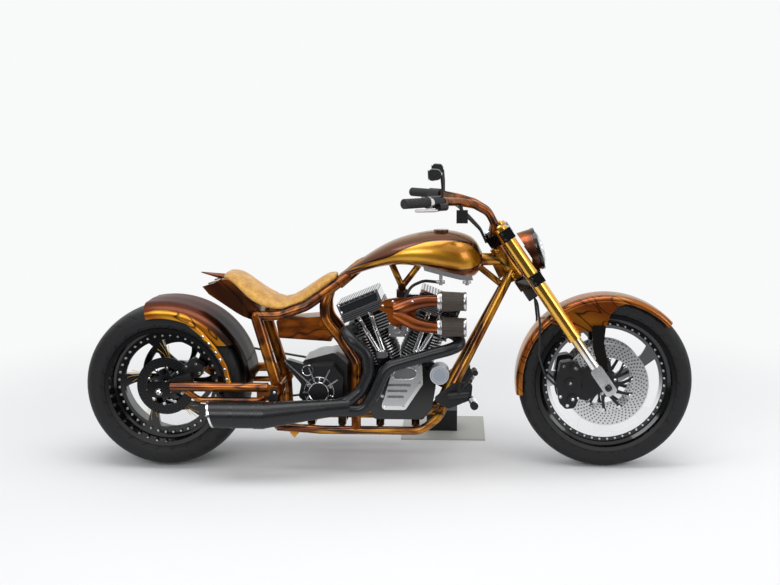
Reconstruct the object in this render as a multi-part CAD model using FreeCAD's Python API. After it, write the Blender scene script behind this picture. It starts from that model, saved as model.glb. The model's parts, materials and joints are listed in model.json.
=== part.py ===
import FreeCAD, Part
import math
import os

# Chopper motorcycle with a wide rear tyre, a raked fork and an open V-twin engine.
# Everything is drawn upright in millimetres: X runs forward from the rear axle, Y to the
# rider's left, Z up from the floor. The last step leans the machine onto its side stand.

V = FreeCAD.Vector

# Stance
WHEELBASE = 1780.0
LEAN_DEG = 2.6
RAKE_DEG = 34.4
FORK_OFFSET = 52.0
FIT_GAP = 0.3
WHEEL_GAP = 8.0
SHAFT_CLEARANCE = 0.05

# Rear wheel
REAR_TYRE_R = 332.0
REAR_TYRE_W = 280.0
REAR_RIM_R = 243.0
REAR_FLANGE_R = 215.0
REAR_STUD_R = 203.0
REAR_SPOKE_Y = -44.0
REAR_SPOKE_T = 18.0
REAR_HUB_R = 46.0
REAR_AXLE_R = 12.7
AXLE_BORE_R = 7.0
REAR_DISC_R = 118.0
REAR_DISC_Y = -96.0
DISC_T = 5.0

# Front wheel
FRONT_TYRE_R = 348.0
FRONT_TYRE_W = 120.0
FRONT_RIM_R = 281.0
FRONT_FLANGE_R = 250.0
FRONT_STUD_R = 238.5
FRONT_SPOKE_Y = -6.0
FRONT_SPOKE_T = 14.0
FRONT_HUB_R = 34.0
FRONT_AXLE_R = 12.7
FRONT_DISC_R = 167.0
FRONT_DISC_Y = 72.0
SPOKE_COUNT = 5
STUD_R = 4.0
STUD_H = 5.0
REAR_STUDS = 40
FRONT_STUDS = 48

# Final drive belt on the left
BELT_Y = 147.0
BELT_W = 20.0
BELT_T = 6.0
REAR_PULLEY_R = 156.0
PULLEY_RIM_T = 22.0
GEARBOX_X = 631.0
GEARBOX_Z = 321.0
FRONT_PULLEY_R = 62.0
BELT_GAP = 1.0

# Frame tubes
CRADLE_TUBE_R = 17.0
CRADLE_Y = 130.0
CRADLE_Z = 165.0
CRADLE_REAR_X = 459.0
CRADLE_FRONT_X = 1040.0
DOWNTUBE_FOOT_X = 1152.0
DOWNTUBE_FOOT_Z = 312.0
DOWNTUBE_TOP_Y = 24.0
CROSS_TUBE_R = 13.0
CROSS_TUBE_X = (590.0, 716.0, 872.0, 1016.0)
BACKBONE_R = 25.0
NECK_R = 34.0
BRACE_R = 13.0
TIE_Z = 740.0
TIE_BEHIND = 86.6
STAY_EYE = V(960.0, 0, 730.0)
NECK_GAP = 5.0
STEM_R = 19.0
SEAT_RAIL_R = 19.0
SEAT_RAIL_Y = 100.0
SEAT_POST_R = 22.5
PIVOT_X = 463.0
PIVOT_Z = 333.0
PIVOT_R = 13.0
PIVOT_BOSS_R = 29.0

# Swingarm
SWINGARM_Y = 192.0
SWINGARM_R = 19.0
SWINGARM_Z = 352.0
SWINGARM_LOW_R = 12.0
SWINGARM_LOW_Z = 299.0
GUSSET_T = 16.0
AXLE_BLOCK_L = 92.0
AXLE_BLOCK_H = 46.0
AXLE_BLOCK_W = 30.0

# Fork
LEG_Y = 110.0
OUTER_TUBE_R = 27.0
INNER_TUBE_R = 20.0
TOP_CLAMP_Z = 949.0
LOW_CLAMP_Z = 776.0
OUTER_TUBE_END_Z = 540.0
CLAMP_T = 46.0
LUG_W = 50.0
LUG_H = 124.0
LUG_Y = 40.0
FORK_AXLE_R = 12.7

# Engine
CRANK_X = 953.0
CRANK_Z = 289.0
CYLINDER_HALF_ANGLE = 22.5
CASE_HALF_W = 80.0
CASE_BOTTOM_Z = 198.0
CAM_CHEST_T = 25.0
CAM_COVER_T = 25.0
DECK_DISTANCE = 150.0
FIN_R = 76.0
BARREL_R = 60.0
FIN_T = 4.0
FIN_PITCH = 12.0
FIN_COUNT = 11
HEAD_START = 284.0
HEAD_FIN_COUNT = 6
HEAD_HALF_W = 84.0
ROCKER_START = 366.0
ROCKER_H = 80.0
ROCKER_FOOT_H = 30.0
ROCKER_FIN_PITCH = 8.0
ROCKER_HALF_L = 92.0
ROCKER_HALF_W = 92.0
INTAKE_Z = 622.0
POD_Y = -176.0
POD_Z = (697.0, 596.0)
POD_X = 1114.0
POD_L = 98.0
POD_R = 42.0
ARM_R = 23.0
PUSHROD_R = 9.5
PUSHROD_Y = -94.5
CYLINDER_GAP = 3.0

FILTER_BACK_Y = -52.0
FILTER_R = 38.0
FILTER_CENTRE = V(1114.0, 0, 394.0)
PRIMARY_Y = 180.0

# Exhaust
HEADER_R = 24.0
HEADER_Y = -190.0
PORT_X = (766.0, 1140.0)
PORT_Z = 569.0
PORT_Y = -84.3
MUFFLER_Y = -245.0
MUFFLER_R = 53.0
MUFFLER_Z = 253.0
MUFFLER_TIP_X = 201.0
MUFFLER_END_X = 431.0
MUFFLER_CONE_X = 671.0

# Bodywork
TANK_HALF_W = 150.0
TAP_X = (1118.0, 1222.0)
TAP_Y = -62.0
TAP_Z = 758.0
FENDER_T = 5.0
REAR_FENDER_HALF_W = 160.0
REAR_SKIRT_R = 288.0
STRUT_R = 10.5
FRONT_FENDER_HALF_W = 72.0
BRACKET_Y = 80.0

# Controls
BAR_R = 16.0
GRIP_R = 19.0
HEADLIGHT_R = 84.0

# Side stand and the block that it stands on
STAND_PIVOT_X = 1085.0
STAND_PIVOT_Y = 172.0
STAND_PIVOT_Z = 178.0
STAND_LEG_R = 9.0
STAND_PAD_T = 10.0
STAND_PIN_R = 7.0
STAND_FOLD_DEG = 85.0
BLOCK_X = (1050.0, 1186.0)
BLOCK_Y = (392.0, 502.0)
BLOCK_H = 95.0
PLATE_X = (940.0, 1308.0)
PLATE_Y = (277.0, 617.0)
PLATE_T = 5.0
PARK_RISE = 0.7

rake = math.radians(RAKE_DEG)
fork_down = V(math.sin(rake), 0, -math.cos(rake))
fork_ahead = V(math.cos(rake), 0, math.sin(rake))
rear_axle = V(0, 0, REAR_TYRE_R)
front_axle = V(WHEELBASE, 0, FRONT_TYRE_R)
steer_point = front_axle - fork_ahead * FORK_OFFSET


# Shared shapes

def unit(vector):
    return V(vector).normalize()


def moved(shape, offset):
    copy = shape.copy()
    copy.translate(offset)
    return copy


def turned(shape, centre, axis, degrees):
    copy = shape.copy()
    copy.rotate(centre, axis, degrees)
    return copy


def main_solid(shape):
    """The largest solid of a cut shape, without the slivers that the cut leaves."""
    return max(shape.Solids, key=lambda solid: solid.Volume)


def joined(shapes):
    result = shapes[0]
    if len(shapes) > 1:
        result = result.multiFuse(shapes[1:])
    return result.removeSplitter()


def rod(start, end, radius):
    run = end - start
    return Part.makeCylinder(radius, run.Length, start, run)


def cone(start, end, start_radius, end_radius):
    run = end - start
    return Part.makeCone(start_radius, end_radius, run.Length, start, run)


def block(x, y, z):
    corner = V(min(x), min(y), min(z))
    return Part.makeBox(max(x) - min(x), max(y) - min(y), max(z) - min(z), corner)


def bent_path(points, bend):
    """A wire of straight runs joined by tangent arcs."""
    points = [V(*point) for point in points]
    edges = []
    last = points[0]
    for before, corner, after in zip(points, points[1:], points[2:]):
        back = before - corner
        ahead = after - corner
        turn = math.pi - back.getAngle(ahead)
        shorter = min(back.Length, ahead.Length)
        radius = min(bend, 0.45 * shorter / math.tan(turn / 2))
        reach = radius * math.tan(turn / 2)
        back = unit(back)
        ahead = unit(ahead)
        inward = unit(back + ahead)
        middle = corner + inward * (radius / math.cos(turn / 2) - radius)
        start = corner + back * reach
        end = corner + ahead * reach
        if last.distanceToPoint(start) > 1e-6:
            edges.append(Part.LineSegment(last, start).toShape())
        edges.append(Part.Arc(start, middle, end).toShape())
        last = end
    edges.append(Part.LineSegment(last, points[-1]).toShape())
    return Part.Wire(edges)


def tube(points, radius, bend=120.0):
    """A round bar bent along the points: a cylinder for each run and a torus for each bend."""
    runs = []
    for edge in bent_path(points, bend).OrderedEdges:
        first, last = edge.FirstParameter, edge.LastParameter
        start = edge.valueAt(first)
        ring = Part.Face(Part.Wire(Part.Circle(start, edge.tangentAt(first), radius).toShape()))
        if isinstance(edge.Curve, Part.Line):
            runs.append(ring.extrude(edge.valueAt(last) - start))
        else:
            turn = math.degrees(last - first)
            runs.append(ring.revolve(edge.Curve.Center, edge.Curve.Axis, turn))
    return joined(runs)


def rounded_outline(points, radius, y):
    """A closed outline in the XZ plane with rounded corners."""
    corners = [V(x, y, z) for x, z in points]
    count = len(corners)
    edges = []
    arcs = []
    for index, corner in enumerate(corners):
        back = corners[index - 1] - corner
        ahead = corners[(index + 1) % count] - corner
        turn = math.pi - back.getAngle(ahead)
        reach = min(radius * math.tan(turn / 2), 0.45 * back.Length, 0.45 * ahead.Length)
        fitted = reach / math.tan(turn / 2)
        inward = unit(unit(back) + unit(ahead))
        middle = corner + inward * (fitted / math.cos(turn / 2) - fitted)
        arcs.append((corner + unit(back) * reach, middle, corner + unit(ahead) * reach))
    for index, (start, middle, end) in enumerate(arcs):
        previous_end = arcs[index - 1][2]
        edges.append(Part.LineSegment(previous_end, start).toShape())
        edges.append(Part.Arc(start, middle, end).toShape())
    return Part.Wire(edges)


def slab(points, y_low, y_high, radius=0.0):
    """A plate of constant thickness, drawn in side view."""
    if radius:
        wire = rounded_outline(points, radius, y_low)
    else:
        corners = [V(x, y_low, z) for x, z in points]
        wire = Part.makePolygon(corners + corners[:1])
    return Part.Face(wire).extrude(V(0, y_high - y_low, 0))


def wheel_turn(profile, centre, start_deg=0.0, sweep_deg=360.0):
    """A profile of (radius, y) points turned about a wheel's axle."""
    corners = [V(centre.x + radius, y, centre.z) for radius, y in profile]
    face = Part.Face(Part.makePolygon(corners + corners[:1]))
    face.rotate(centre, V(0, -1, 0), start_deg)
    return face.revolve(centre, V(0, -1, 0), sweep_deg)


def smooth_wheel_turn(outer, inner, centre, start_deg=0.0, sweep_deg=360.0):
    """The same between two smooth curves of (radius, y) points."""
    def curve(points):
        spline = Part.BSplineCurve()
        spline.interpolate([V(centre.x + radius, y, centre.z) for radius, y in points])
        return spline.toShape()
    first = curve(outer)
    second = curve(inner)
    ends = [Part.LineSegment(first.Vertexes[i].Point, second.Vertexes[i].Point).toShape()
            for i in (0, 1)]
    face = Part.Face(Part.Wire(Part.sortEdges([first, second] + ends)[0]))
    face.rotate(centre, V(0, -1, 0), start_deg)
    return face.revolve(centre, V(0, -1, 0), sweep_deg)


def disc(centre, radius, y_low, y_high):
    return rod(V(centre.x, y_low, centre.z), V(centre.x, y_high, centre.z), radius)


def around(centre, count, make, phase_deg=0.0):
    """Copies of a shape spaced evenly round an axle."""
    shape = make()
    step = 360.0 / count
    return [turned(shape, centre, V(0, -1, 0), phase_deg + step * i) for i in range(count)]


def fork_point(along, y, ahead=0.0):
    """A point beside the steering axis: along is measured up from the axle's level."""
    return steer_point - fork_down * along + fork_ahead * ahead + V(0, y, 0)


def fork_height(z):
    """How far up the steering axis a leg reaches the height z."""
    return (z - front_axle.z) / math.cos(rake)


def axis_point(z, behind=0.0, y=0.0):
    """A point of the height z on the steering axis, or a distance behind it."""
    return V(steer_point.x - (z - steer_point.z) * math.tan(rake) - behind, y, z)


def beside_axle(points):
    """Side-view points measured from the front axle."""
    return [(front_axle.x + x, front_axle.z + z) for x, z in points]


# Wheels

def tyre(centre, radius, width, bead_radius):
    half = width / 2
    depth = radius - bead_radius
    outer = [(bead_radius, -0.44 * width), (bead_radius + 0.35 * depth, -half),
             (bead_radius + 0.72 * depth, -0.46 * width), (radius - 0.05 * depth, -0.27 * width),
             (radius, 0), (radius - 0.05 * depth, 0.27 * width),
             (bead_radius + 0.72 * depth, 0.46 * width), (bead_radius + 0.35 * depth, half),
             (bead_radius, 0.44 * width)]
    floor = bead_radius - 12 + FIT_GAP
    outline = [(floor, -0.44 * width)] + [(floor, 0.44 * width)]
    return smooth_wheel_turn(outer, outline, centre)


def rim(centre, width, lip_radius, flange_radius, stud_radius, studs, spoke_y, spoke_t):
    """A dished rim: two lips, a barrel and the flange that the studs hold."""
    lip_y = 0.44 * width
    seat = lip_radius - 12
    skin = 5.0
    flange_inner = 2 * stud_radius - flange_radius + skin
    near = spoke_y - spoke_t / 2
    far = spoke_y + spoke_t / 2
    profile = [(lip_radius, -lip_y - 4), (lip_radius, -lip_y - 0.3), (seat, -lip_y - 0.3),
               (seat, lip_y + 0.3), (lip_radius, lip_y + 0.3), (lip_radius, lip_y + 4),
               (seat - skin, lip_y + 3), (seat - skin - 2, far + 14), (flange_radius, far + 8),
               (flange_radius, far), (flange_inner, far), (flange_inner, near),
               (flange_radius, near), (flange_radius, near - 8), (seat - skin - 2, near - 14),
               (seat - skin, -lip_y - 3)]
    ring = wheel_turn(profile, centre)

    def stud():
        spot = V(centre.x + stud_radius, 0, centre.z)
        return rod(spot + V(0, near - STUD_H, 0), spot + V(0, near + 1, 0), STUD_R)
    return joined([ring] + around(centre, studs, stud, 180.0 / studs))


def curved_spoke(centre, inner_radius, outer_radius, root_half, tip_half, sweep_deg, y_low, y_high):
    """One spoke whose two edges bow the same way."""
    def spot(radius, degrees):
        angle = math.radians(degrees)
        return V(centre.x + radius * math.cos(angle), y_low, centre.z + radius * math.sin(angle))
    middle_radius = (inner_radius + outer_radius) / 2
    root = math.degrees(root_half / inner_radius)
    tip = math.degrees(tip_half / outer_radius)
    waist = (root_half + tip_half) * 0.32 / middle_radius
    waist = math.degrees(waist)
    bow = sweep_deg * 0.62
    edges = [Part.Arc(spot(inner_radius, -root), spot(middle_radius, bow - waist),
                      spot(outer_radius, sweep_deg - tip)).toShape(),
             Part.LineSegment(spot(outer_radius, sweep_deg - tip),
                              spot(outer_radius, sweep_deg + tip)).toShape(),
             Part.Arc(spot(outer_radius, sweep_deg + tip), spot(middle_radius, bow + waist),
                      spot(inner_radius, root)).toShape(),
             Part.LineSegment(spot(inner_radius, root), spot(inner_radius, -root)).toShape()]
    return Part.Face(Part.Wire(edges)).extrude(V(0, y_high - y_low, 0))


def wheel_centre(centre, hub_radius, hub_y, band_outer, spoke_y, spoke_t, root, tip, sweep, phase):
    """Hub, curved spokes and the band that is bolted to the rim's flange."""
    near = spoke_y - spoke_t / 2
    far = spoke_y + spoke_t / 2
    band_inner = band_outer - 13
    band = wheel_turn([(band_inner, near), (band_outer, near), (band_outer, far), (band_inner, far)],
                      centre)
    hub = disc(centre, hub_radius, -hub_y[0], hub_y[1])
    seat = disc(centre, hub_radius + 20, near - 4, far + 4)

    def spoke():
        return curved_spoke(centre, hub_radius + 6, band_inner + 4, root, tip, sweep, near, far)
    return joined([hub, seat, band] + around(centre, SPOKE_COUNT, spoke, phase))


def bored(shape, centre, radius):
    return shape.cut(disc(centre, radius, -300, 300))


def brake_disc(centre, radius, y_middle, hub_radius):
    """A brake rotor ring on a carrier with ten arms."""
    y_low = y_middle - DISC_T / 2
    y_high = y_middle + DISC_T / 2
    ring_inner = 0.66 * radius
    ring = wheel_turn([(ring_inner, y_low), (radius, y_low), (radius, y_high), (ring_inner, y_high)],
                      centre)
    boss = wheel_turn([(hub_radius, y_low), (hub_radius + 0.14 * radius, y_low),
                       (hub_radius + 0.14 * radius, y_high), (hub_radius, y_high)], centre)

    def arm():
        return curved_spoke(centre, hub_radius + 0.1 * radius, ring_inner + 3, 0.06 * radius,
                            0.05 * radius, 16.0, y_low, y_high)
    return joined([ring, boss] + around(centre, 10, arm))


def front_wheel():
    tyre_shape = tyre(front_axle, FRONT_TYRE_R, FRONT_TYRE_W, FRONT_RIM_R)
    rim_shape = rim(front_axle, FRONT_TYRE_W, FRONT_RIM_R, FRONT_FLANGE_R, FRONT_STUD_R,
                    FRONT_STUDS, FRONT_SPOKE_Y, FRONT_SPOKE_T)
    band_outer = 2 * FRONT_STUD_R - FRONT_FLANGE_R + 5
    centre = wheel_centre(front_axle, FRONT_HUB_R, (FRONT_DISC_Y - DISC_T / 2, FRONT_DISC_Y - DISC_T / 2),
                          band_outer, FRONT_SPOKE_Y, FRONT_SPOKE_T, 26.0, 34.0, 22.0, 12.0)
    centre = bored(centre, front_axle, FRONT_AXLE_R + SHAFT_CLEARANCE)
    near_disc = brake_disc(front_axle, FRONT_DISC_R, -FRONT_DISC_Y, 26.0)
    discs = Part.makeCompound([near_disc, moved(near_disc, V(0, 2 * FRONT_DISC_Y, 0))])
    return {"front_tyre": tyre_shape, "front_rim": rim_shape, "front_wheel_centre": centre,
            "front_discs": discs}


def rear_wheel():
    tyre_shape = tyre(rear_axle, REAR_TYRE_R, REAR_TYRE_W, REAR_RIM_R)
    rim_shape = rim(rear_axle, REAR_TYRE_W, REAR_RIM_R, REAR_FLANGE_R, REAR_STUD_R, REAR_STUDS,
                    REAR_SPOKE_Y, REAR_SPOKE_T)
    band_outer = 2 * REAR_STUD_R - REAR_FLANGE_R + 5
    centre = wheel_centre(rear_axle, REAR_HUB_R, (-REAR_DISC_Y - DISC_T / 2, BELT_Y),
                          band_outer, REAR_SPOKE_Y, REAR_SPOKE_T, 20.0, 30.0, 24.0, 10.0)
    centre = bored(centre, rear_axle, REAR_AXLE_R + SHAFT_CLEARANCE)
    disc_shape = brake_disc(rear_axle, REAR_DISC_R, REAR_DISC_Y, 30.0)
    rim_inner = REAR_PULLEY_R - PULLEY_RIM_T
    y_high = BELT_Y + BELT_W
    pulley_rim = wheel_turn([(rim_inner, BELT_Y), (REAR_PULLEY_R, BELT_Y), (REAR_PULLEY_R, y_high),
                             (rim_inner, y_high)], rear_axle)
    boss = wheel_turn([(30, BELT_Y), (REAR_HUB_R + 8, BELT_Y), (REAR_HUB_R + 8, y_high - 4),
                       (30, y_high - 4)], rear_axle)

    def arm():
        return curved_spoke(rear_axle, REAR_HUB_R + 2, rim_inner + 3, 14.0, 20.0, 20.0,
                            BELT_Y + 3, y_high - 6)
    pulley = joined([pulley_rim, boss] + around(rear_axle, SPOKE_COUNT, arm, 40.0))
    return {"rear_tyre": tyre_shape, "rear_rim": rim_shape, "rear_wheel_centre": centre,
            "rear_disc": disc_shape, "rear_pulley": pulley}


# Frame

def backbone_path():
    return [tuple(axis_point(844, 11)), (1230, 0, 842), (960, 0, 866), (800, 0, 826), (700, 0, 742)]


def seat_rail_path(side):
    y = side * SEAT_RAIL_Y
    return [(745, side * 34, 778), (668, side * 72, 722), (580, y, 662), (470, y, 625),
            (372, y, 625)]


def frame_spine():
    neck_top = fork_point(fork_height(TOP_CLAMP_Z) - CLAMP_T / 2 - NECK_GAP, 0)
    neck_bottom = fork_point(fork_height(LOW_CLAMP_Z) + CLAMP_T / 2 + NECK_GAP, 0)
    neck = rod(neck_bottom, neck_top, NECK_R)
    backbone = tube(backbone_path(), BACKBONE_R)
    brace = rod(V(1225, 0, 850), axis_point(TIE_Z, TIE_BEHIND), BRACE_R)
    gusset_corners = [axis_point(z, behind) for z, behind in ((800, 7), (862, 13), (850, 63), (762, 81))]
    gusset = slab([(c.x, c.z) for c in gusset_corners], -6, 6)
    stay = [rod(STAY_EYE, V(STAY_EYE.x + side * 74 + 20, 0, 852), BRACE_R) for side in (-1, 1)]
    eye = disc(STAY_EYE, 16, -20, 20)
    stops = [Part.makeSphere(14, axis_point(z, 14, side * 32)) for z in (784, 880) for side in (-1, 1)]
    bore = rod(neck_bottom + fork_down * 5, neck_top - fork_down * 5, STEM_R + SHAFT_CLEARANCE)
    return joined([neck, backbone, brace, gusset, eye] + stay + stops).cut(bore)


def cradle_side(side):
    path = [(CRADLE_REAR_X, side * CRADLE_Y, CRADLE_Z + 12), (640, side * CRADLE_Y, CRADLE_Z),
            (CRADLE_FRONT_X, side * CRADLE_Y, CRADLE_Z), (1112, side * CRADLE_Y, 222),
            (DOWNTUBE_FOOT_X, side * 122, DOWNTUBE_FOOT_Z),
            tuple(axis_point(800, 3.5, side * DOWNTUBE_TOP_Y))]
    return tube(path, CRADLE_TUBE_R, 90.0)


def frame_cradle(spine):
    cross_tubes = [rod(V(x, -CRADLE_Y, CRADLE_Z), V(x, CRADLE_Y, CRADLE_Z), CROSS_TUBE_R)
                   for x in CROSS_TUBE_X]
    feet = [slab([(508, CRADLE_Z - 8), (552, CRADLE_Z - 8), (530, CRADLE_Z - 34)],
                 side * CRADLE_Y - 5, side * CRADLE_Y + 5, 4) for side in (-1, 1)]
    tie = rod(axis_point(TIE_Z, TIE_BEHIND, -36), axis_point(TIE_Z, TIE_BEHIND, 36), BRACE_R)
    cradle = joined([cradle_side(-1), cradle_side(1), tie] + cross_tubes + feet)
    return joined([main_solid(cradle.cut(spine))] + stand_bracket())


def frame_rear(spine):
    shapes = []
    for side in (-1, 1):
        shapes.append(tube(seat_rail_path(side), SEAT_RAIL_R))
        shapes.append(tube([(376, side * SEAT_RAIL_Y, 628), (PIVOT_X, side * 115, PIVOT_Z),
                            (470, side * 120, CRADLE_Z + 4)], SEAT_POST_R, 60.0))
        shapes.append(tube([(668, side * 70, 722), (650, side * 80, 668), (653, side * 82, 606),
                            (715, side * 84, 529), (777, side * 88, 430),
                            (780, side * CRADLE_Y, CRADLE_Z + 4)], CRADLE_TUBE_R + 2, 90.0))
        shapes.append(rod(V(PIVOT_X, side * 98, PIVOT_Z), V(PIVOT_X, side * 146, PIVOT_Z), PIVOT_BOSS_R))
    shapes.append(rod(V(376, -SEAT_RAIL_Y, 626), V(376, SEAT_RAIL_Y, 626), 15))
    shaft = disc(V(PIVOT_X, 0, PIVOT_Z), PIVOT_R + SHAFT_CLEARANCE, -200, 200)
    rear = joined(shapes)
    rails = Part.makeCompound([cradle_side(side) for side in (-1, 1)])
    return main_solid(rear.cut(shaft).cut(spine).cut(rails))


def swingarm():
    shapes = []
    for side in (-1, 1):
        y = side * SWINGARM_Y
        shapes.append(rod(V(AXLE_BLOCK_L / 2, y, SWINGARM_Z), V(436, y, SWINGARM_Z), SWINGARM_R))
        shapes.append(tube([(100, y, SWINGARM_Z - 12), (160, y, SWINGARM_LOW_Z),
                            (396, y, SWINGARM_LOW_Z), (422, y, 312)], SWINGARM_LOW_R, 60.0))
        shapes.append(slab([(392, 372), (470, 356), (484, 333), (466, 306), (392, 290)],
                           y - GUSSET_T / 2, y + GUSSET_T / 2, 12))
    shapes.append(rod(V(PIVOT_X, -SWINGARM_Y, PIVOT_Z), V(PIVOT_X, SWINGARM_Y, PIVOT_Z), PIVOT_R))
    return joined(shapes)


def rear_axle_set(arm):
    y = SWINGARM_Y + AXLE_BLOCK_W / 2
    shapes = [disc(rear_axle, REAR_AXLE_R, -y - 6, y + 6)]
    for side in (-1, 1):
        low = side * SWINGARM_Y - AXLE_BLOCK_W / 2
        high = side * SWINGARM_Y + AXLE_BLOCK_W / 2
        half = AXLE_BLOCK_L / 2
        low_z = rear_axle.z - 21
        high_z = low_z + AXLE_BLOCK_H + 18
        outline = [(-half, low_z), (half, low_z), (half, high_z), (-half, high_z)]
        shapes.append(slab(outline, low, high, 20))
    hollow = disc(rear_axle, AXLE_BORE_R, -y - 10, y + 10)
    return joined(shapes).cut(hollow).cut(arm)


# Engine

def cylinder_axis(side):
    angle = math.radians(CYLINDER_HALF_ANGLE) * side
    return V(math.sin(angle), 0, math.cos(angle)), V(math.cos(angle), 0, -math.sin(angle))


def bank_point(side, up, across, y=0.0):
    """A point on a cylinder bank: up from the crank, across to the front of its axis."""
    axis, tangent = cylinder_axis(side)
    return V(CRANK_X, y, CRANK_Z) + axis * up + tangent * across


def bank_block(side, up, across, y):
    corners = [bank_point(side, u, a) for u, a in
               ((up[0], across[0]), (up[0], across[1]), (up[1], across[1]), (up[1], across[0]))]
    return slab([(c.x, c.z) for c in corners], y[0], y[1])


def half_space(side):
    """The room on one side of the plane midway between the cylinders."""
    edge = CRANK_X + side * CYLINDER_GAP / 2
    return block((edge, edge + side * 400), (-200, 200), (CRANK_Z, CRANK_Z + 600))


def mounting_foot(x, z_top):
    """Two saddles under a casing, on a cross tube of the cradle."""
    seat = disc(V(x, 0, CRADLE_Z), CROSS_TUBE_R + FIT_GAP, -CRADLE_Y, CRADLE_Y)
    saddles = [block((x - 16, x + 16), (y - 14, y + 14), (CRADLE_Z + 3, z_top)) for y in (-46, 46)]
    return Part.makeCompound(saddles).cut(seat)


def crankcase():
    deck = bank_point(1, DECK_DISTANCE, 78)
    outline = [(2 * CRANK_X - deck.x, deck.z), (CRANK_X, 450), (deck.x, deck.z), (1098, 330),
               (1082, 240), (1046, CASE_BOTTOM_Z), (850, CASE_BOTTOM_Z), (818, 262)]
    body = slab(outline, -CASE_HALF_W, CASE_HALF_W, 14)
    body = body.cut(disc(FILTER_CENTRE, FILTER_R + 2, -CASE_HALF_W - 1, FILTER_BACK_Y))
    chest_outline = [(866, 262), (975, 240), (1058, 352), (1056, 456), (868, 456)]
    chest = slab(chest_outline, -CASE_HALF_W - CAM_CHEST_T, -CASE_HALF_W, 14)
    drive_side = rod(V(CRANK_X, CASE_HALF_W, CRANK_Z), V(CRANK_X, PRIMARY_Y, CRANK_Z), 84)
    filter_arm = slab([(1040, 350), (1120, 362), (1158, 394), (1120, 424), (1040, 430)],
                      FILTER_BACK_Y, FILTER_BACK_Y + 14, 12)
    feet = [mounting_foot(x, CASE_BOTTOM_Z + 12) for x in CROSS_TUBE_X[2:]]
    return joined([body, chest, drive_side, filter_arm] + feet)


def cylinder(side, case):
    """A finned barrel and a finned head on one axis."""
    shapes = [rod(bank_point(side, DECK_DISTANCE, 0), bank_point(side, ROCKER_START, 0), BARREL_R)]
    for index in range(FIN_COUNT):
        up = DECK_DISTANCE + 8 + index * FIN_PITCH
        shapes.append(rod(bank_point(side, up, 0), bank_point(side, up + FIN_T, 0), FIN_R))
    for index in range(HEAD_FIN_COUNT):
        up = HEAD_START + index * FIN_PITCH
        shapes.append(bank_block(side, (up, up + FIN_T + 1), (-HEAD_HALF_W, HEAD_HALF_W),
                                 (-HEAD_HALF_W, HEAD_HALF_W)))
    barrel = joined(shapes).common(half_space(side))
    return barrel.cut(case)


def rocker_box(side):
    """A finned foot under a cover with a recessed panel on each side and slots along its top."""
    length = ROCKER_HALF_L
    width = ROCKER_HALF_W
    foot_top = ROCKER_START + ROCKER_FOOT_H
    top = ROCKER_START + ROCKER_H
    shapes = [bank_block(side, (ROCKER_START, foot_top), (6 - length, length - 6), (-width, width - 8))]
    for index in range(4):
        up = ROCKER_START + index * ROCKER_FIN_PITCH
        shapes.append(bank_block(side, (up, up + FIN_T), (-length, length), (-width - 8, width)))
    cover = bank_block(side, (foot_top, top), (4 - length, length - 4), (-width - 4, width - 4))
    panels = [bank_block(side, (foot_top + 9, top - 15), (16 - length, length - 16), (y - 4, y + 4))
              for y in (-width - 4, width - 4)]
    for index in range(7):
        across = (index - 3) * 23
        for y in (-width - 4, width - 4):
            panels.append(bank_block(side, (top - 10, top - 5), (across - 8, across + 8),
                                     (y - 3, y + 3)))
    shapes.append(cover.cut(Part.makeCompound(panels)))
    return joined(shapes).common(half_space(side))


def stay_mount(rocker, spine):
    """The front rocker box with the black block that bolts it to the frame's stay."""
    near = STAY_EYE.x - 22
    arm = block((near, 1062), (-14, 14), (686, 700))
    seat = block((near, near + 44), (-16, 16), (686, STAY_EYE.z - 8))
    return main_solid(joined([rocker, arm, seat]).cut(spine))


def pushrod_set(side, chest_top, box):
    foot_x = CRANK_X + side * 70
    foot = block((foot_x - 24, foot_x + 24), (PUSHROD_Y - 13, PUSHROD_Y + 12),
                 (chest_top, chest_top + 26))
    shapes = [foot]
    for offset, across in ((-9, -26), (9, 26)):
        start = V(foot_x + offset, PUSHROD_Y, chest_top + 20)
        end = bank_point(side, ROCKER_START + 6, across, PUSHROD_Y)
        shapes.append(rod(start, end, PUSHROD_R))
    return joined(shapes).cut(box)


def cam_cover():
    y_low = -CASE_HALF_W - CAM_CHEST_T - CAM_COVER_T
    outline = [(878, 250), (978, 250), (1048, 356), (1045, 440), (936, 442)]
    cover = slab(outline, y_low, y_low + CAM_COVER_T, 16)
    recess = slab([(920, 378), (1024, 378), (1024, 424), (930, 424)], y_low - 1, y_low + 6, 20)
    slots = [slab([(906, z - 5), (1000 - 14 * i, z - 5), (1000 - 14 * i, z + 5), (906, z + 5)],
                  y_low - 1, y_low + 6, 4.9) for i, z in enumerate((352, 328, 304))]
    return cover.cut(Part.makeCompound([recess] + slots))


def oil_filter():
    return disc(FILTER_CENTRE, FILTER_R, -138, FILTER_BACK_Y - FIT_GAP)


def carburettor(cylinders):
    """The carburettor on the short tract that joins both heads."""
    bowl = block((912, 984), (-132, -104), (548, 606))
    throat = rod(V(CRANK_X, -158, INTAKE_Z), V(CRANK_X, 0, INTAKE_Z), 27)
    tract = rod(V(CRANK_X - 62, 0, INTAKE_Z), V(CRANK_X + 62, 0, INTAKE_Z), 22)
    return main_solid(joined([bowl, throat, tract]).cut(cylinders))


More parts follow.
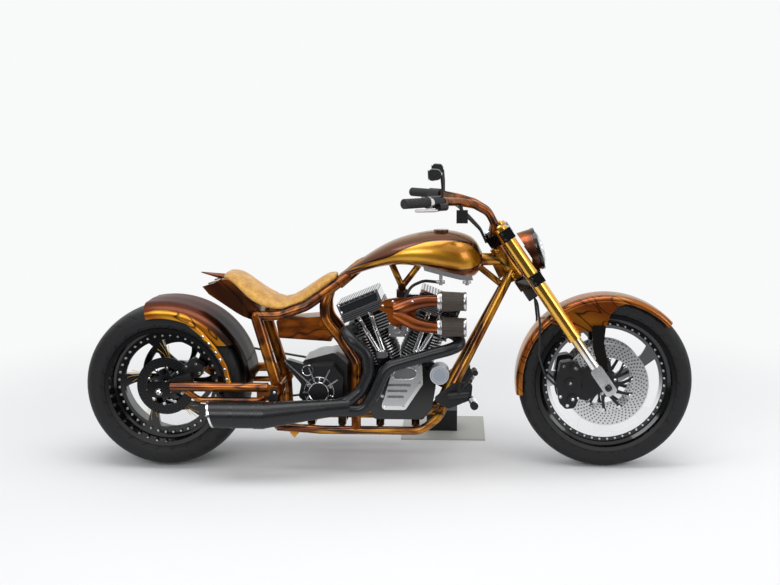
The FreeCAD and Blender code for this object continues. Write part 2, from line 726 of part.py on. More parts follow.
def intake_manifold(carb):
    """The painted Y piece that feeds from both filters into the carburettor."""
    shapes = [rod(V(CRANK_X, -190, 640), V(CRANK_X, -158, 640), 42)]
    for z, root_z in zip(POD_Z, (662.0, 652.0)):
        rings = []
        for x, share, radius in ((934, 0.0, 26), (990, 0.5, 31), (1046, 0.9, 26),
                                 (POD_X - 30, 1.0, ARM_R), (POD_X, 1.0, ARM_R)):
            centre = V(x, POD_Y - 8 * (1 - share), root_z + share * (z - root_z))
            rings.append(Part.Wire(Part.Circle(centre, V(1, 0, 0), radius).toShape()))
        shapes.append(Part.makeLoft(rings, True, False))
    plate = slab([(878, 664), (882, 692), (904, 704), (943, 710), (1008, 710), (1024, 646), (1008, 584),
                  (943, 632), (903, 652)], -178, -160, 10)
    bolt = disc(V(893, 0, 680), 9, -186, -170)
    return joined(shapes).fuse(plate.fuse(bolt)).cut(carb)


def air_filters(manifold):
    pods = []
    for z in POD_Z:
        end = POD_X + POD_L
        sleeve = rod(V(POD_X - 14, POD_Y, z), V(POD_X + 6, POD_Y, z), POD_R - 6)
        pod = cone(V(POD_X + 4, POD_Y, z), V(end, POD_Y, z), POD_R, POD_R - 5)
        cap = rod(V(end, POD_Y, z), V(end + 10, POD_Y, z), POD_R - 3)
        pods.append(joined([sleeve, pod, cap]).cut(manifold))
    return Part.makeCompound(pods)


def gearbox():
    body = slab([(560, 226), (742, 226), (742, 430), (690, 474), (560, 440)], -90, 80, 20)
    cover = slab([(470, 462), (600, 424), (690, 428), (730, 380), (722, 270), (590, 262),
                  (548, 300), (560, 352)], -128, -90, 14)
    ring = disc(V(GEARBOX_X, 0, GEARBOX_Z), 42, -140, -128)
    hub = V(GEARBOX_X, 0, GEARBOX_Z)
    ribs = []
    for x, z in ((494, 448), (592, 420), (676, 412), (708, 372), (704, 286), (600, 278), (566, 318)):
        along = V(x, 0, z) - hub
        across = unit(V(-along.z, 0, along.x)) * 3
        corners = [hub + across, V(x, 0, z) + across, V(x, 0, z) - across, hub - across]
        ribs.append(slab([(c.x, c.z) for c in corners], -134, -127))
    shaft = disc(V(GEARBOX_X, 0, GEARBOX_Z), 30, 80, PRIMARY_Y)
    pulley = disc(V(GEARBOX_X, 0, GEARBOX_Z), FRONT_PULLEY_R, BELT_Y, BELT_Y + BELT_W)
    feet = [mounting_foot(x, 240) for x in CROSS_TUBE_X[:2]]
    return joined([body, cover, ring, shaft, pulley] + ribs + feet)


def primary_cover():
    y_low = PRIMARY_Y + FIT_GAP
    y_high = 236.0
    crank = V(CRANK_X, 0, CRANK_Z)
    clutch = V(GEARBOX_X, 0, GEARBOX_Z)
    crank_r = 94.0
    clutch_r = 118.0

    def body(grow, low, high):
        run = clutch - crank
        across = unit(V(-run.z, 0, run.x))
        corners = [crank + across * (crank_r + grow), clutch + across * (clutch_r + grow),
                   clutch - across * (clutch_r + grow), crank - across * (crank_r + grow)]
        bar = slab([(c.x, c.z) for c in corners], low, high)
        return joined([disc(crank, crank_r + grow, low, high),
                       disc(clutch, clutch_r + grow, low, high), bar])
    cap = disc(clutch, 72, y_high, y_high + 8)
    inspection = disc(crank, 50, y_high, y_high + 6)
    return joined([body(0, y_low, y_high - 14), body(-12, y_high - 14, y_high), cap, inspection])


def belt_loop(grow, low, high):
    """The solid round which the belt runs, grown outwards."""
    first = V(rear_axle.x, 0, rear_axle.z)
    second = V(GEARBOX_X, 0, GEARBOX_Z)
    first_r = REAR_PULLEY_R + grow
    second_r = FRONT_PULLEY_R + grow
    run = second - first
    heading = math.atan2(run.z, run.x)
    lean = math.asin((first_r - second_r) / run.Length)
    corners = []
    for centre, radius, sign in ((first, first_r, 1), (second, second_r, 1),
                                 (second, second_r, -1), (first, first_r, -1)):
        angle = heading + sign * (math.pi / 2 - lean)
        corners.append((centre.x + radius * math.cos(angle), centre.z + radius * math.sin(angle)))
    return joined([disc(first, first_r, low, high), disc(second, second_r, low, high),
                   slab(corners, low, high)])


def drive_belt():
    outer = belt_loop(BELT_GAP + BELT_T, BELT_Y + 2, BELT_Y + BELT_W - 2)
    return outer.cut(belt_loop(BELT_GAP, BELT_Y, BELT_Y + BELT_W))


# Exhaust

def exhaust():
    """Two headers that run into one muffler with a slash-cut tip."""
    start_y = PORT_Y - 26
    flanges = [disc(V(x, 0, PORT_Z), HEADER_R + 2, start_y, PORT_Y) for x in PORT_X]
    rear = tube([(PORT_X[0], start_y, PORT_Z), (742, -152, 574), (764, HEADER_Y, 546),
                 (830, HEADER_Y, 492), (838, HEADER_Y, 410), (806, HEADER_Y, 340),
                 (756, -205, 300), (700, -210, 284)], HEADER_R, 70.0)
    front = tube([(PORT_X[1], start_y, PORT_Z), (1184, -120, 552), (1198, -170, 524),
                  (1150, HEADER_Y, 508), (1090, HEADER_Y, 492), (905, HEADER_Y - 4, 436),
                  (864, HEADER_Y - 10, 340), (816, HEADER_Y - 14, 262), (736, -212, 270)],
                 HEADER_R, 80.0)
    cone_y = MUFFLER_Y + 22
    rings = [Part.Wire(Part.Circle(V(x, y, z), V(1, 0, 0), radius).toShape())
             for x, y, z, radius in ((MUFFLER_END_X, MUFFLER_Y, MUFFLER_Z, MUFFLER_R),
                                     (MUFFLER_CONE_X, cone_y, 276, 36), (764, -207, 282, 34))]
    taper = Part.makeLoft(rings, True, True)
    body = rod(V(MUFFLER_TIP_X - 10, MUFFLER_Y, MUFFLER_Z), V(MUFFLER_END_X, MUFFLER_Y, MUFFLER_Z),
               MUFFLER_R)
    band = rod(V(MUFFLER_END_X - 42, MUFFLER_Y, MUFFLER_Z),
               V(MUFFLER_END_X - 2, MUFFLER_Y, MUFFLER_Z), MUFFLER_R + 2)
    tip = block((MUFFLER_TIP_X - 60, MUFFLER_TIP_X), (-320, -170), (180, 320))
    slash = turned(tip, V(MUFFLER_TIP_X, 0, MUFFLER_Z + MUFFLER_R), V(0, 1, 0), -13.0)
    hollow = rod(V(MUFFLER_TIP_X - 40, MUFFLER_Y, MUFFLER_Z),
                 V(MUFFLER_TIP_X + 90, MUFFLER_Y, MUFFLER_Z), MUFFLER_R - 9)
    hanger_y = -SWINGARM_Y - GUSSET_T / 2 - FIT_GAP
    hanger = slab([(432, 268), (470, 268), (476, 345), (450, 350)], hanger_y - 6, hanger_y, 8)
    pieces = [rear, front, taper, body.cut(slash), band, hanger] + flanges
    return joined(pieces).cut(hollow)


# Bodywork

def oval_ring(x, half_width, z_top, z_bottom, waist=0.4, fullness=0.8, turns=16):
    """A closed cross-section, widest at the given share of its height."""
    z_waist = z_bottom + waist * (z_top - z_bottom)
    points = []
    for index in range(turns):
        angle = 2 * math.pi * index / turns
        across = math.cos(angle)
        rise = math.sin(angle)
        y = half_width * math.copysign(abs(across) ** fullness, across)
        reach = (z_top - z_waist) if rise > 0 else (z_waist - z_bottom)
        z = z_waist + reach * math.copysign(abs(rise) ** fullness, rise)
        points.append(V(x, y, z))
    spline = Part.BSplineCurve()
    spline.interpolate(points, PeriodicFlag=True)
    return Part.Wire(spline.toShape())


def tank(spine, rear_frame):
    stations = [(708, 40, 784, 766), (760, 62, 820, 781), (840, 92, 874, 806), (930, 122, 921, 823),
                (1030, 144, 950, 818), (1130, TANK_HALF_W, 960, 796), (1196, 140, 950, 780),
                (1242, 112, 930, 776), (1268, 76, 900, 796), (1282, 38, 874, 826)]
    rings = [oval_ring(x, w, top, low, 0.42, 0.82) for x, w, top, low in stations]
    body = Part.makeLoft(rings, True, False)
    tunnel = tube(backbone_path(), BACKBONE_R + FIT_GAP)
    tunnels = [moved(tunnel, V(0, 0, -drop)) for drop in (0, 30, 60)]
    rails = [tube(seat_rail_path(side), SEAT_RAIL_R + FIT_GAP) for side in (-1, 1)]
    cap = rod(V(1118, -36, 945), V(1118, -36, 966), 30)
    hollow = joined([body, cap]).cut(Part.makeCompound(tunnels)).cut(Part.makeCompound(rails))
    return main_solid(hollow.cut(spine).cut(rear_frame))


def fuel_taps(fuel_tank):
    """A bright strip under the tank's near side with two taps."""
    outline = [(1044, 836), (1236, 806), (1246, 768), (1196, 769), (1130, 785), (1052, 806)]
    strip = slab(outline, -82, -44).cut(fuel_tank)
    taps = []
    for x in TAP_X:
        taps.append(rod(V(x, TAP_Y, TAP_Z - 12), V(x, TAP_Y, TAP_Z + 32), 8))
        taps.append(rod(V(x - 18, TAP_Y, TAP_Z), V(x + 16, TAP_Y, TAP_Z), 7))
    return main_solid(joined([main_solid(strip)] + taps).cut(fuel_tank))


def fuel_hose(taps, carb):
    """The hose from the rear tap down to the carburettor's float bowl."""
    path = [(TAP_X[0] - 14, TAP_Y, TAP_Z), (1050, TAP_Y - 4, TAP_Z + 6), (1000, -82, 744), (974, -106, 696),
            (970, -118, 600)]
    return main_solid(tube(path, 6.0, 60).cut(taps).cut(carb))


def seat(spine, rear_frame):
    stations = [(240, 70, 786, 772), (258, 104, 798, 762), (292, 122, 792, 742), (335, 128, 766, 700),
                (385, 126, 728, 664), (440, 120, 697, 646), (500, 112, 691, 645),
                (560, 104, 716, 665), (620, 94, 762, 702), (662, 84, 788, 736), (700, 66, 788, 760)]
    rings = [oval_ring(x, w, top, low, 0.35, 0.7) for x, w, top, low in stations]
    pad = Part.makeLoft(rings, True, False)
    grown = [tube(seat_rail_path(side), SEAT_RAIL_R + FIT_GAP) for side in (-1, 1)]
    return main_solid(pad.cut(Part.makeCompound(grown)).cut(rear_frame).cut(spine))


def tail_cowl(rear_frame, pad):
    side_view = [(372, 600), (404, 622), (356, 690), (302, 762), (244, 774), (214, 758), (166, 743),
                 (192, 712), (300, 640)]
    body = slab(side_view, -118, 118)
    plan = [(410, -60), (410, 60), (330, 118), (166, 112), (232, 60), (150, 0), (232, -60),
            (166, -112), (330, -118)]
    corners = [V(x, y, 560) for x, y in plan]
    outline = Part.Face(Part.makePolygon(corners + corners[:1])).extrude(V(0, 0, 300))
    shell = body.common(outline)
    spike = cone(V(258, 0, 764), V(138, 0, 787), 16, 2)
    return main_solid(joined([shell, spike]).cut(rear_frame).cut(pad))


def fender_section(half_width, crown_radius, skirt_radius, thickness):
    """Two smooth curves across a fender, outside and inside."""
    def curve(inset):
        w = half_width - inset
        top = crown_radius - inset
        drop = crown_radius - skirt_radius
        return [(skirt_radius, -w), (skirt_radius + 0.5 * drop, -0.995 * w),
                (top - 0.14 * drop, -0.82 * w), (top - 0.03 * drop, -0.45 * w), (top, 0),
                (top - 0.03 * drop, 0.45 * w), (top - 0.14 * drop, 0.82 * w),
                (skirt_radius + 0.5 * drop, 0.995 * w), (skirt_radius, w)]
    return curve(0.0), curve(thickness)


def rear_fender(rear_frame, arm):
    """The rear fender with the two bent struts that carry it on the swingarm."""
    crown = REAR_TYRE_R + WHEEL_GAP + 14
    outer, inner = fender_section(REAR_FENDER_HALF_W, crown, REAR_SKIRT_R, FENDER_T)
    shell = smooth_wheel_turn(outer, inner, rear_axle, 4.0, 97.0)
    trims = []
    for side in (-1, 1):
        trims.append(block((120, 420), (side * 128, side * 200), (300, 512)))
    shell = main_solid(shell.cut(Part.makeCompound(trims)).cut(rear_frame))
    struts = []
    for side in (-1, 1):
        y = REAR_FENDER_HALF_W + 7
        path = [(118, side * y, 604), (168, side * y, 562), (222, side * (y + 8), 500),
                (262, side * (y + 14), 436), (284, side * SWINGARM_Y, SWINGARM_Z)]
        struts.append(tube(path, STRUT_R, 80.0).cut(arm))
    return joined([shell] + struts)


def front_fender():
    """The front fender with its two brackets, which are bolted to the fork's lugs."""
    crown = FRONT_TYRE_R + WHEEL_GAP + FENDER_T
    outer, inner = fender_section(FRONT_FENDER_HALF_W, crown, 334.0, FENDER_T)
    shell = smooth_wheel_turn(outer, inner, front_axle, 44.0, 144.0)
    lobe_outline = beside_axle([(92, 334), (42, 316), (10, 282), (-3, 242), (-12, 218), (-80, 214),
                                (-140, 222), (-205, 242), (-232, 248), (-180, 307), (-80, 340),
                                (20, 348)])
    outer_y = FRONT_FENDER_HALF_W - 0.5
    bracket_outline = beside_axle([(-64, 242), (-8, 242), (-15, 172), (2, 92), (-6, 46), (-32, 42),
                                   (-44, 102), (-58, 152)])
    upper_bolt = front_axle + V(-37, 0, 232)
    lower_bolt = front_axle + V(-21, 0, 58)
    shapes = [shell]
    for side in (-1, 1):
        shapes.append(slab(lobe_outline, side * outer_y, side * (outer_y - FENDER_T), 12))
        shapes.append(slab(bracket_outline, side * BRACKET_Y, side * (BRACKET_Y + 6), 10))
        shapes.append(disc(upper_bolt, 11, side * (outer_y - 2), side * (BRACKET_Y + 1)))
        shapes.append(disc(lower_bolt, 9, side * (BRACKET_Y + 4),
                           side * (LEG_Y - LUG_Y / 2 - FIT_GAP)))
    return joined(shapes)


def oil_box(rear_frame):
    tank_body = slab([(452, 599), (634, 616), (684, 513), (463, 527)], -62, 62, 8)
    bolt = disc(V(640, 0, 590), 10, -84, 84)
    return main_solid(joined([tank_body, bolt]).cut(rear_frame))


# Fork and controls

def clamp(z, thickness):
    """A block across both legs, square to the steering axis, that narrows towards the stem."""
    along = fork_height(z)
    shapes = []
    middle = fork_point(along, 0)
    rear = STEM_R + 4.5
    front = FORK_OFFSET + OUTER_TUBE_R + 7
    plate_corners = [(-rear, -31), (-rear, 31), (FORK_OFFSET - 10, LEG_Y + 34), (front, LEG_Y + 30),
                     (front, LEG_Y - 34), (front - 24, 0), (front, -LEG_Y + 34), (front, -LEG_Y - 30),
                     (FORK_OFFSET - 10, -LEG_Y - 34)]
    corners = [middle + fork_ahead * ahead + V(0, y, 0) - fork_down * (thickness / 2)
               for ahead, y in plate_corners]
    face = Part.Face(Part.makePolygon(corners + corners[:1]))
    shapes.append(face.extrude(fork_down * thickness))
    return joined(shapes)


def leg_line(z_top, z_bottom, side, radius):
    top = fork_point(fork_height(z_top), side * LEG_Y, FORK_OFFSET)
    bottom = fork_point(fork_height(z_bottom), side * LEG_Y, FORK_OFFSET)
    return rod(bottom, top, radius)


def triple_clamps():
    top = clamp(TOP_CLAMP_Z, CLAMP_T)
    low = clamp(LOW_CLAMP_Z, CLAMP_T)
    stem_bottom = fork_point(fork_height(LOW_CLAMP_Z), 0)
    stem_top = fork_point(fork_height(TOP_CLAMP_Z) + CLAMP_T / 2 + 10, 0)
    stem = rod(stem_bottom, stem_top, STEM_R)
    legs = [leg_line(TOP_CLAMP_Z + 80, LOW_CLAMP_Z - 120, side, OUTER_TUBE_R) for side in (-1, 1)]
    return joined([top, low, stem]).cut(Part.makeCompound(legs))


def fork_tubes():
    tubes = []
    for side in (-1, 1):
        body = leg_line(TOP_CLAMP_Z + 28, OUTER_TUBE_END_Z, side, OUTER_TUBE_R)
        end_along = fork_height(OUTER_TUBE_END_Z)
        collar = rod(fork_point(end_along, side * LEG_Y, FORK_OFFSET),
                     fork_point(end_along + 26, side * LEG_Y, FORK_OFFSET), OUTER_TUBE_R + 2)
        tubes.append(joined([body, collar]))
    return Part.makeCompound(tubes)


def fork_legs():
    shapes = []
    for side in (-1, 1):
        shapes.append(leg_line(OUTER_TUBE_END_Z, 410, side, INNER_TUBE_R))
        low = side * LEG_Y - LUG_Y / 2
        high = side * LEG_Y + LUG_Y / 2
        top = fork_point(94, 0, FORK_OFFSET)
        bottom = fork_point(-34, 0, FORK_OFFSET)
        half = fork_ahead * (LUG_W / 2)
        corners = [top - half, top + half, bottom + half, bottom - half]
        shapes.append(slab([(c.x, c.z) for c in corners], low, high, 14))
    shapes.append(disc(front_axle, FORK_AXLE_R, -LEG_Y - LUG_Y / 2 - 8, LEG_Y + LUG_Y / 2 + 8))
    hollow = disc(front_axle, AXLE_BORE_R, -200, 200)
    return joined(shapes).cut(hollow)


def caliper_pair(legs):
    """Two brake calipers behind the legs, each straddling its disc."""
    calipers = []
    for side in (-1, 1):
        y = side * FRONT_DISC_Y
        outline = beside_axle([(-186, 92), (-144, 100), (-112, 80), (-100, 30), (-104, -40), (-128, -92),
                               (-164, -96), (-188, -70), (-200, 0)])
        body = slab(outline, y - 26, y + 26, 14)
        slot = disc(front_axle, FRONT_DISC_R + 6, y - DISC_T / 2 - 5, y + DISC_T / 2 + 5)
        seat_y = LEG_Y - LUG_Y / 2 - FIT_GAP
        arm_outline = beside_axle([(-120, 60), (-74, 74), (-48, 50), (-14, 14), (-20, -14), (-74, -62),
                                   (-118, -56), (-96, 4)])
        arm = slab(arm_outline, side * (seat_y - 8), side * seat_y, 8)
        pistons = []
        for degrees, radius in ((150.0, 19.0), (176.0, 21.0), (202.0, 19.0)):
            angle = math.radians(degrees)
            spot = front_axle + V(146 * math.cos(angle), 0, 146 * math.sin(angle))
            pistons.append(disc(spot, radius, y + side * 24, y + side * 33))
        calipers.append(main_solid(joined([body.cut(slot), arm] + pistons).cut(legs)))
    return Part.makeCompound(calipers)


def rear_caliper():
    y = REAR_DISC_Y
    body = slab([(70, 414), (118, 452), (164, 420), (150, 376), (110, 366)], y - 24, y + 24, 10)
    slot = disc(rear_axle, REAR_DISC_R + 6, y - DISC_T / 2 - 5, y + DISC_T / 2 + 5)
    arm_y = -SWINGARM_Y + SWINGARM_R + 4
    seat_y = -SWINGARM_Y + AXLE_BLOCK_W / 2 + FIT_GAP
    arm = slab([(-34, 352), (40, 372), (120, 404), (120, 380), (40, 330), (-20, 322)],
               arm_y, y - 16, 10)
    boss = disc(rear_axle, 20, seat_y, arm_y + 10)
    axle_hole = disc(rear_axle, REAR_AXLE_R + FIT_GAP, -200, -100)
    clear = disc(rear_axle, REAR_DISC_R + 6, y - 16, y + 10)
    hole = disc(rear_axle, REAR_HUB_R + 8, -140, 0)
    return main_solid(joined([body.cut(slot), arm.cut(clear), boss]).cut(hole).cut(axle_hole))


def bar_spot(x, y, z):
    """A point measured from the top of the fork's stem."""
    return fork_point(fork_height(TOP_CLAMP_Z) + CLAMP_T / 2, y) + V(x, 0, z)


def bar_path(side):
    return [tuple(bar_spot(x, side * y, z)) for x, y, z in
            ((17, 44, 51), (-7, 50, 97), (-63, 84, 129), (-125, 140, 144), (-187, 240, 151))]


def grip_line(side):
    return bar_spot(-187, side * 240, 151), bar_spot(-327, side * 400, 153)


def handlebar(clamps):
    shapes = []
    for side in (-1, 1):
        start, end = grip_line(side)
        path = bar_path(side)
        shapes.append(tube(path, BAR_R, 60.0))
        inner = start + unit(end - start) * 60
        shapes.append(rod(V(*path[-1]), inner, BAR_R - 3))
    cross = rod(bar_spot(17, -44, 51), bar_spot(17, 44, 51), 12)
    risers = [rod(bar_spot(8, side * 44, -4), bar_spot(17, side * 44, 51), 15) for side in (-1, 1)]
    return main_solid(joined(shapes + [cross] + risers).cut(clamps))


def grips():
    shapes = []
    for side in (-1, 1):
        start, end = grip_line(side)
        heading = unit(end - start)
        shapes.append(rod(start + heading * 86, end, GRIP_R))
    return Part.makeCompound(shapes)


def bar_controls(bar):
    """Switch housings, brake and clutch reservoirs and their levers."""
    shapes = []
    for side in (-1, 1):
        start, end = grip_line(side)
        heading = unit(end - start)
        housing = rod(start + heading * 12, start + heading * 86, 23)
        body = rod(start + heading * 20 + V(26, 0, -18), start + heading * 64 + V(26, 0, -18), 15)
        lever = tube([tuple(start + heading * 50 + V(30, 0, -26)),
                      tuple(start + heading * 96 + V(36, 0, -30)),
                      tuple(end - heading * 6 + V(40, 0, -26))], 5.5, 40)
        shapes.append(joined([housing, body, lever]))
    centre = bar_spot(-112, -146, 87)
    box = block((centre.x - 22, centre.x + 22), (centre.y - 16, centre.y + 16),
                (centre.z - 25, centre.z + 25))
    hanger = rod(centre, bar_spot(-118, -134, 140), 7)
    shapes.append(joined([box, hanger]))
    return Part.makeCompound(shapes).cut(bar)


def bar_cables(controls, bar, clamps):
    """The two sheathed cables that run along the bar into the fork's stem."""
    cables = []
    for side in (-1, 1):
        path = [tuple(bar_spot(x, side * y, z)) for x, y, z in
                ((-172, 214, 126), (-130, 152, 108), (-84, 84, 74), (-38, 44, 26), (-14, 24, -26))]
        cables.append(main_solid(tube(path, 5.0, 60).cut(controls).cut(bar).cut(clamps)))
    return Part.makeCompound(cables)


def brake_hose(clamps, calipers):
    """The junction block under the lower clamp with a hose down to each caliper."""
    under = fork_height(LOW_CLAMP_Z) - CLAMP_T / 2 - FIT_GAP
    corners = [fork_point(under - drop, 0, ahead) for drop, ahead in
               ((0, -16), (0, 34), (46, 34), (46, -16))]
    pieces = [slab([(c.x, c.z) for c in corners], -62, 62, 4)]
    for side in (-1, 1):
        path = [tuple(fork_point(under - 44, side * 52, 8)),
                tuple(front_axle + V(-280, side * 84, 334)), tuple(front_axle + V(-268, side * 92, 240)),
                tuple(front_axle + V(-272, side * 93, 120)), tuple(front_axle + V(-246, side * 90, 40)),
                tuple(front_axle + V(-180, side * 86, -24))]
        pieces.append(tube(path, 4.5, 70))
    return main_solid(joined(pieces).cut(calipers))


def mirrors(controls, bar):
    shapes = []
    for side in (-1, 1):
        start, _ = grip_line(side)
        foot = start + V(0, side * 18, 8)
        stem = tube([tuple(foot), tuple(foot + V(0, 0, 50)), tuple(foot + V(-4, side * 12, 94))], 5.0,
                    40)
        corners = [start + V(x, 0, z) for x, z in ((-50, 82), (-8, 88), (-2, 106), (-10, 124), (-52, 127))]
        head = slab([(c.x, c.z) for c in corners], side * 262, side * 362, 14)
        shapes.append(joined([stem, head]))
    return Part.makeCompound(shapes).cut(controls).cut(bar)


def headlight_axis():
    tilt = math.radians(18.0)
    return V(math.cos(tilt), 0, math.sin(tilt))


def headlight_face():
    """The middle of the lens."""
    return fork_point(600.4, 0, 131.0)


def headlight(clamps):
    """The lamp's shell, cut off behind in line with the fork, with its bracket."""
    ahead = headlight_axis()
    face = headlight_face()
    bucket = rod(face - ahead * 150, face, HEADLIGHT_R)
    behind = Part.makeBox(400, 400, 400, V(-400, -200, -200))
    behind.rotate(V(0, 0, 0), V(0, 1, 0), -RAKE_DEG)
    behind.translate(fork_point(626.4, 0, 93.0))
    low = fork_height(LOW_CLAMP_Z)
    arm_outline = [(-18, 8), (16, 8), (60, 36), (120, 36), (120, 60), (60, 60), (-18, 28)]
    corners = [fork_point(low + along, 0, FORK_OFFSET + ahead_of_legs)
               for along, ahead_of_legs in arm_outline]
    arm = slab([(c.x, c.z) for c in corners], -14, 14)
    return main_solid(joined([bucket.cut(behind), arm]).cut(clamps))


def headlight_lens(bucket):
    ahead = headlight_axis()
    face = headlight_face()
    rise = 22.0
    sphere_r = (HEADLIGHT_R ** 2 + rise ** 2) / (2 * rise)
    ball = Part.makeSphere(sphere_r, face - ahead * (sphere_r - rise))
    drum = rod(face, face + ahead * 60, HEADLIGHT_R - 2)
    return ball.common(drum).cut(bucket)


# Foot controls and stand

def forward_controls():
    shapes = []
    for side in (-1, 1):
        y = side * (CRADLE_Y + 18)
        plate = slab([(1085, 300), (1170, 366), (1246, 366), (1240, 300), (1150, 262)],
                     y - side * 6, y + side * 6, 14)
        cylinder_body = rod(V(1150, y + side * 6, 316), V(1236, y + side * 22, 330), 15)
        housing = block((1186, 1240), (y, y + side * 28), (322, 372))
        pedal = tube([(1200, y + side * 14, 336), (1216, y + side * 40, 370),
                      (1250, y + side * 42, 426)], 7, 30)
        toe_peg = rod(V(1250, y + side * 30, 426), V(1254, y + side * 92, 427), 11)
        peg = rod(V(1238, y, 306), V(1250, side * 284, 308), 11)
        peg_end = rod(V(1248, side * 270, 308), V(1251, side * 290, 308), 15)
        shapes.append(joined([plate, cylinder_body, housing, pedal, toe_peg, peg, peg_end]))
    rails = Part.makeCompound([cradle_side(side) for side in (-1, 1)])
    return Part.makeCompound(shapes).cut(rails)


def upright_point(point):
    """Where a point of the leaning machine lies on the upright drawing."""
    lean = math.radians(LEAN_DEG)
    return V(point.x, point.y * math.cos(lean) - point.z * math.sin(lean),
             point.y * math.sin(lean) + point.z * math.cos(lean))


def upright_shape(shape):
    return turned(shape, V(0, 0, 0), V(1, 0, 0), LEAN_DEG)


def stand_pivot():
    return V(STAND_PIVOT_X, STAND_PIVOT_Y, STAND_PIVOT_Z)


def block_spot():
    """Where the stand's foot rests on the block: level with its pivot, so that it lifts off at once."""
    return V(STAND_PIVOT_X - 2, sum(BLOCK_Y) / 2, PLATE_T + BLOCK_H - PARK_RISE)


def stand_foot():
    return upright_point(block_spot() + V(0, 0, STAND_PAD_T + STAND_LEG_R - 2))


def stand_axis():
    """The stand swings back about this axis, from pointing outwards to lying along the rail."""
    return unit((stand_foot() - stand_pivot()).cross(V(-1, 0, 0)))


def side_stand():
    pivot = stand_pivot()
    axis = stand_axis()
    leg = rod(pivot, stand_foot(), STAND_LEG_R)
    eye = rod(pivot - axis * 11, pivot + axis * 11, 18)
    bore = rod(pivot - axis * 20, pivot + axis * 20, STAND_PIN_R + SHAFT_CLEARANCE)
    spot = block_spot()
    pad = cone(spot, spot + V(0, 0, STAND_PAD_T), 8, 20)
    return joined([leg, eye, upright_shape(pad)]).cut(bore)


def stand_bracket():
    """Two ears on the left rail with the pin that the stand turns on."""
    pivot = stand_pivot()
    axis = stand_axis()
    along = V(1, 0, 0)
    inward = unit(axis.cross(along))
    if inward.y > 0:
        inward = inward * -1
    shapes = [rod(pivot - axis * 19, pivot + axis * 19, STAND_PIN_R)]
    for side in (-1, 1):
        near = pivot + axis * (side * 12)
        shapes.append(rod(near, near + axis * (side * 7), 17))
        corners = [near - along * 15, near + along * 15, near + inward * 44 + along * 15,
                   near + inward * 44 - along * 15]
        strip = Part.Face(Part.makePolygon(corners + corners[:1]))
        shapes.append(strip.extrude(axis * (side * 7)))
    return shapes


def stand_block():
    """The plate and block under the side stand, drawn where they lie on the floor."""
    base = block(PLATE_X, PLATE_Y, (0, PLATE_T))
    body = block(BLOCK_X, BLOCK_Y, (PLATE_T, PLATE_T + BLOCK_H))
    return base, body


def parked(shape):
    """Leans the upright machine onto its stand, with its tyres on the floor."""
    leaned = turned(shape, V(0, 0, 0), V(1, 0, 0), -LEAN_DEG)
    leaned.translate(V(0, 0, PARK_RISE))
    return leaned


def floor_centre(nodes):
    """The middle of the whole machine's outer box, at its lowest level."""
    boxes = [shape.optimalBoundingBox(False) for shape in nodes.values()]
    low = [min(values) for values in zip(*((b.XMin, b.YMin, b.ZMin) for b in boxes))]
    high = [max(values) for values in zip(*((b.XMax, b.YMax, b.ZMax) for b in boxes))]
    return V((low[0] + high[0]) / 2, (low[1] + high[1]) / 2, low[2])


def build():
    nodes = {}
    spine = frame_spine()
    cradle = frame_cradle(spine)
    rear_frame = frame_rear(spine)
    arm = swingarm()
    case = crankcase()
    cylinders = Part.makeCompound([cylinder(side, case) for side in (-1, 1)])
    carb = carburettor(cylinders)
    manifold = intake_manifold(carb)
    pad = seat(spine, rear_frame)
    legs = fork_legs()
    clamps = triple_clamps()
    bar = handlebar(clamps)
    controls = bar_controls(bar)
    bucket = headlight(clamps)
    chest_top = 456.0
    nodes.update({"frame_spine": spine, "frame_cradle": cradle, "frame_rear": rear_frame,
                  "swingarm": arm, "rear_axle": rear_axle_set(arm), "crankcase": case})
    nodes["cylinders"] = cylinders
    boxes = [rocker_box(-1), stay_mount(rocker_box(1), spine)]
    nodes["rocker_boxes"] = Part.makeCompound(boxes)
    nodes["pushrod_tubes"] = Part.makeCompound([pushrod_set(side, chest_top, box)
                                                for side, box in zip((-1, 1), boxes)])
    nodes["cam_cover"] = cam_cover()
    nodes["oil_filter"] = oil_filter()
    nodes["carburettor"] = carb
    nodes["intake_manifold"] = manifold
    nodes["air_filters"] = air_filters(manifold)
    nodes["gearbox"] = gearbox()
    nodes["primary_cover"] = primary_cover()
    nodes["drive_belt"] = drive_belt()
    nodes["exhaust"] = exhaust()
    nodes["oil_box"] = oil_box(rear_frame)
    nodes["tank"] = tank(spine, rear_frame)
    nodes["fuel_taps"] = fuel_taps(nodes["tank"])
    nodes["fuel_hose"] = fuel_hose(nodes["fuel_taps"], carb)
    nodes["seat"] = pad
    nodes["tail_cowl"] = tail_cowl(rear_frame, pad)
    nodes["rear_fender"] = rear_fender(rear_frame, arm)
    nodes["rear_caliper"] = rear_caliper()
    nodes["forward_controls"] = forward_controls()
    nodes["triple_clamps"] = clamps
    nodes["fork_tubes"] = fork_tubes()
    nodes["fork_legs"] = legs
    nodes["front_calipers"] = caliper_pair(legs)
    nodes["handlebar"] = bar
    nodes["grips"] = grips()
    nodes["bar_controls"] = controls
    nodes["bar_cables"] = bar_cables(controls, bar, clamps)
    nodes["brake_hose"] = brake_hose(clamps, nodes["front_calipers"])
    nodes["mirrors"] = mirrors(controls, bar)
    nodes["headlight"] = bucket
    nodes["headlight_lens"] = headlight_lens(bucket)
    nodes["front_fender"] = front_fender()
    nodes.update(front_wheel())
    nodes.update(rear_wheel())
    nodes["side_stand"] = side_stand()
    nodes = {name: parked(shape) for name, shape in nodes.items()}
    nodes["stand_plate"], nodes["stand_block"] = stand_block()
    return nodes


def centred(nodes):
    origin = floor_centre(nodes)
    return {name: moved(shape, origin * -1) for name, shape in nodes.items()}, origin


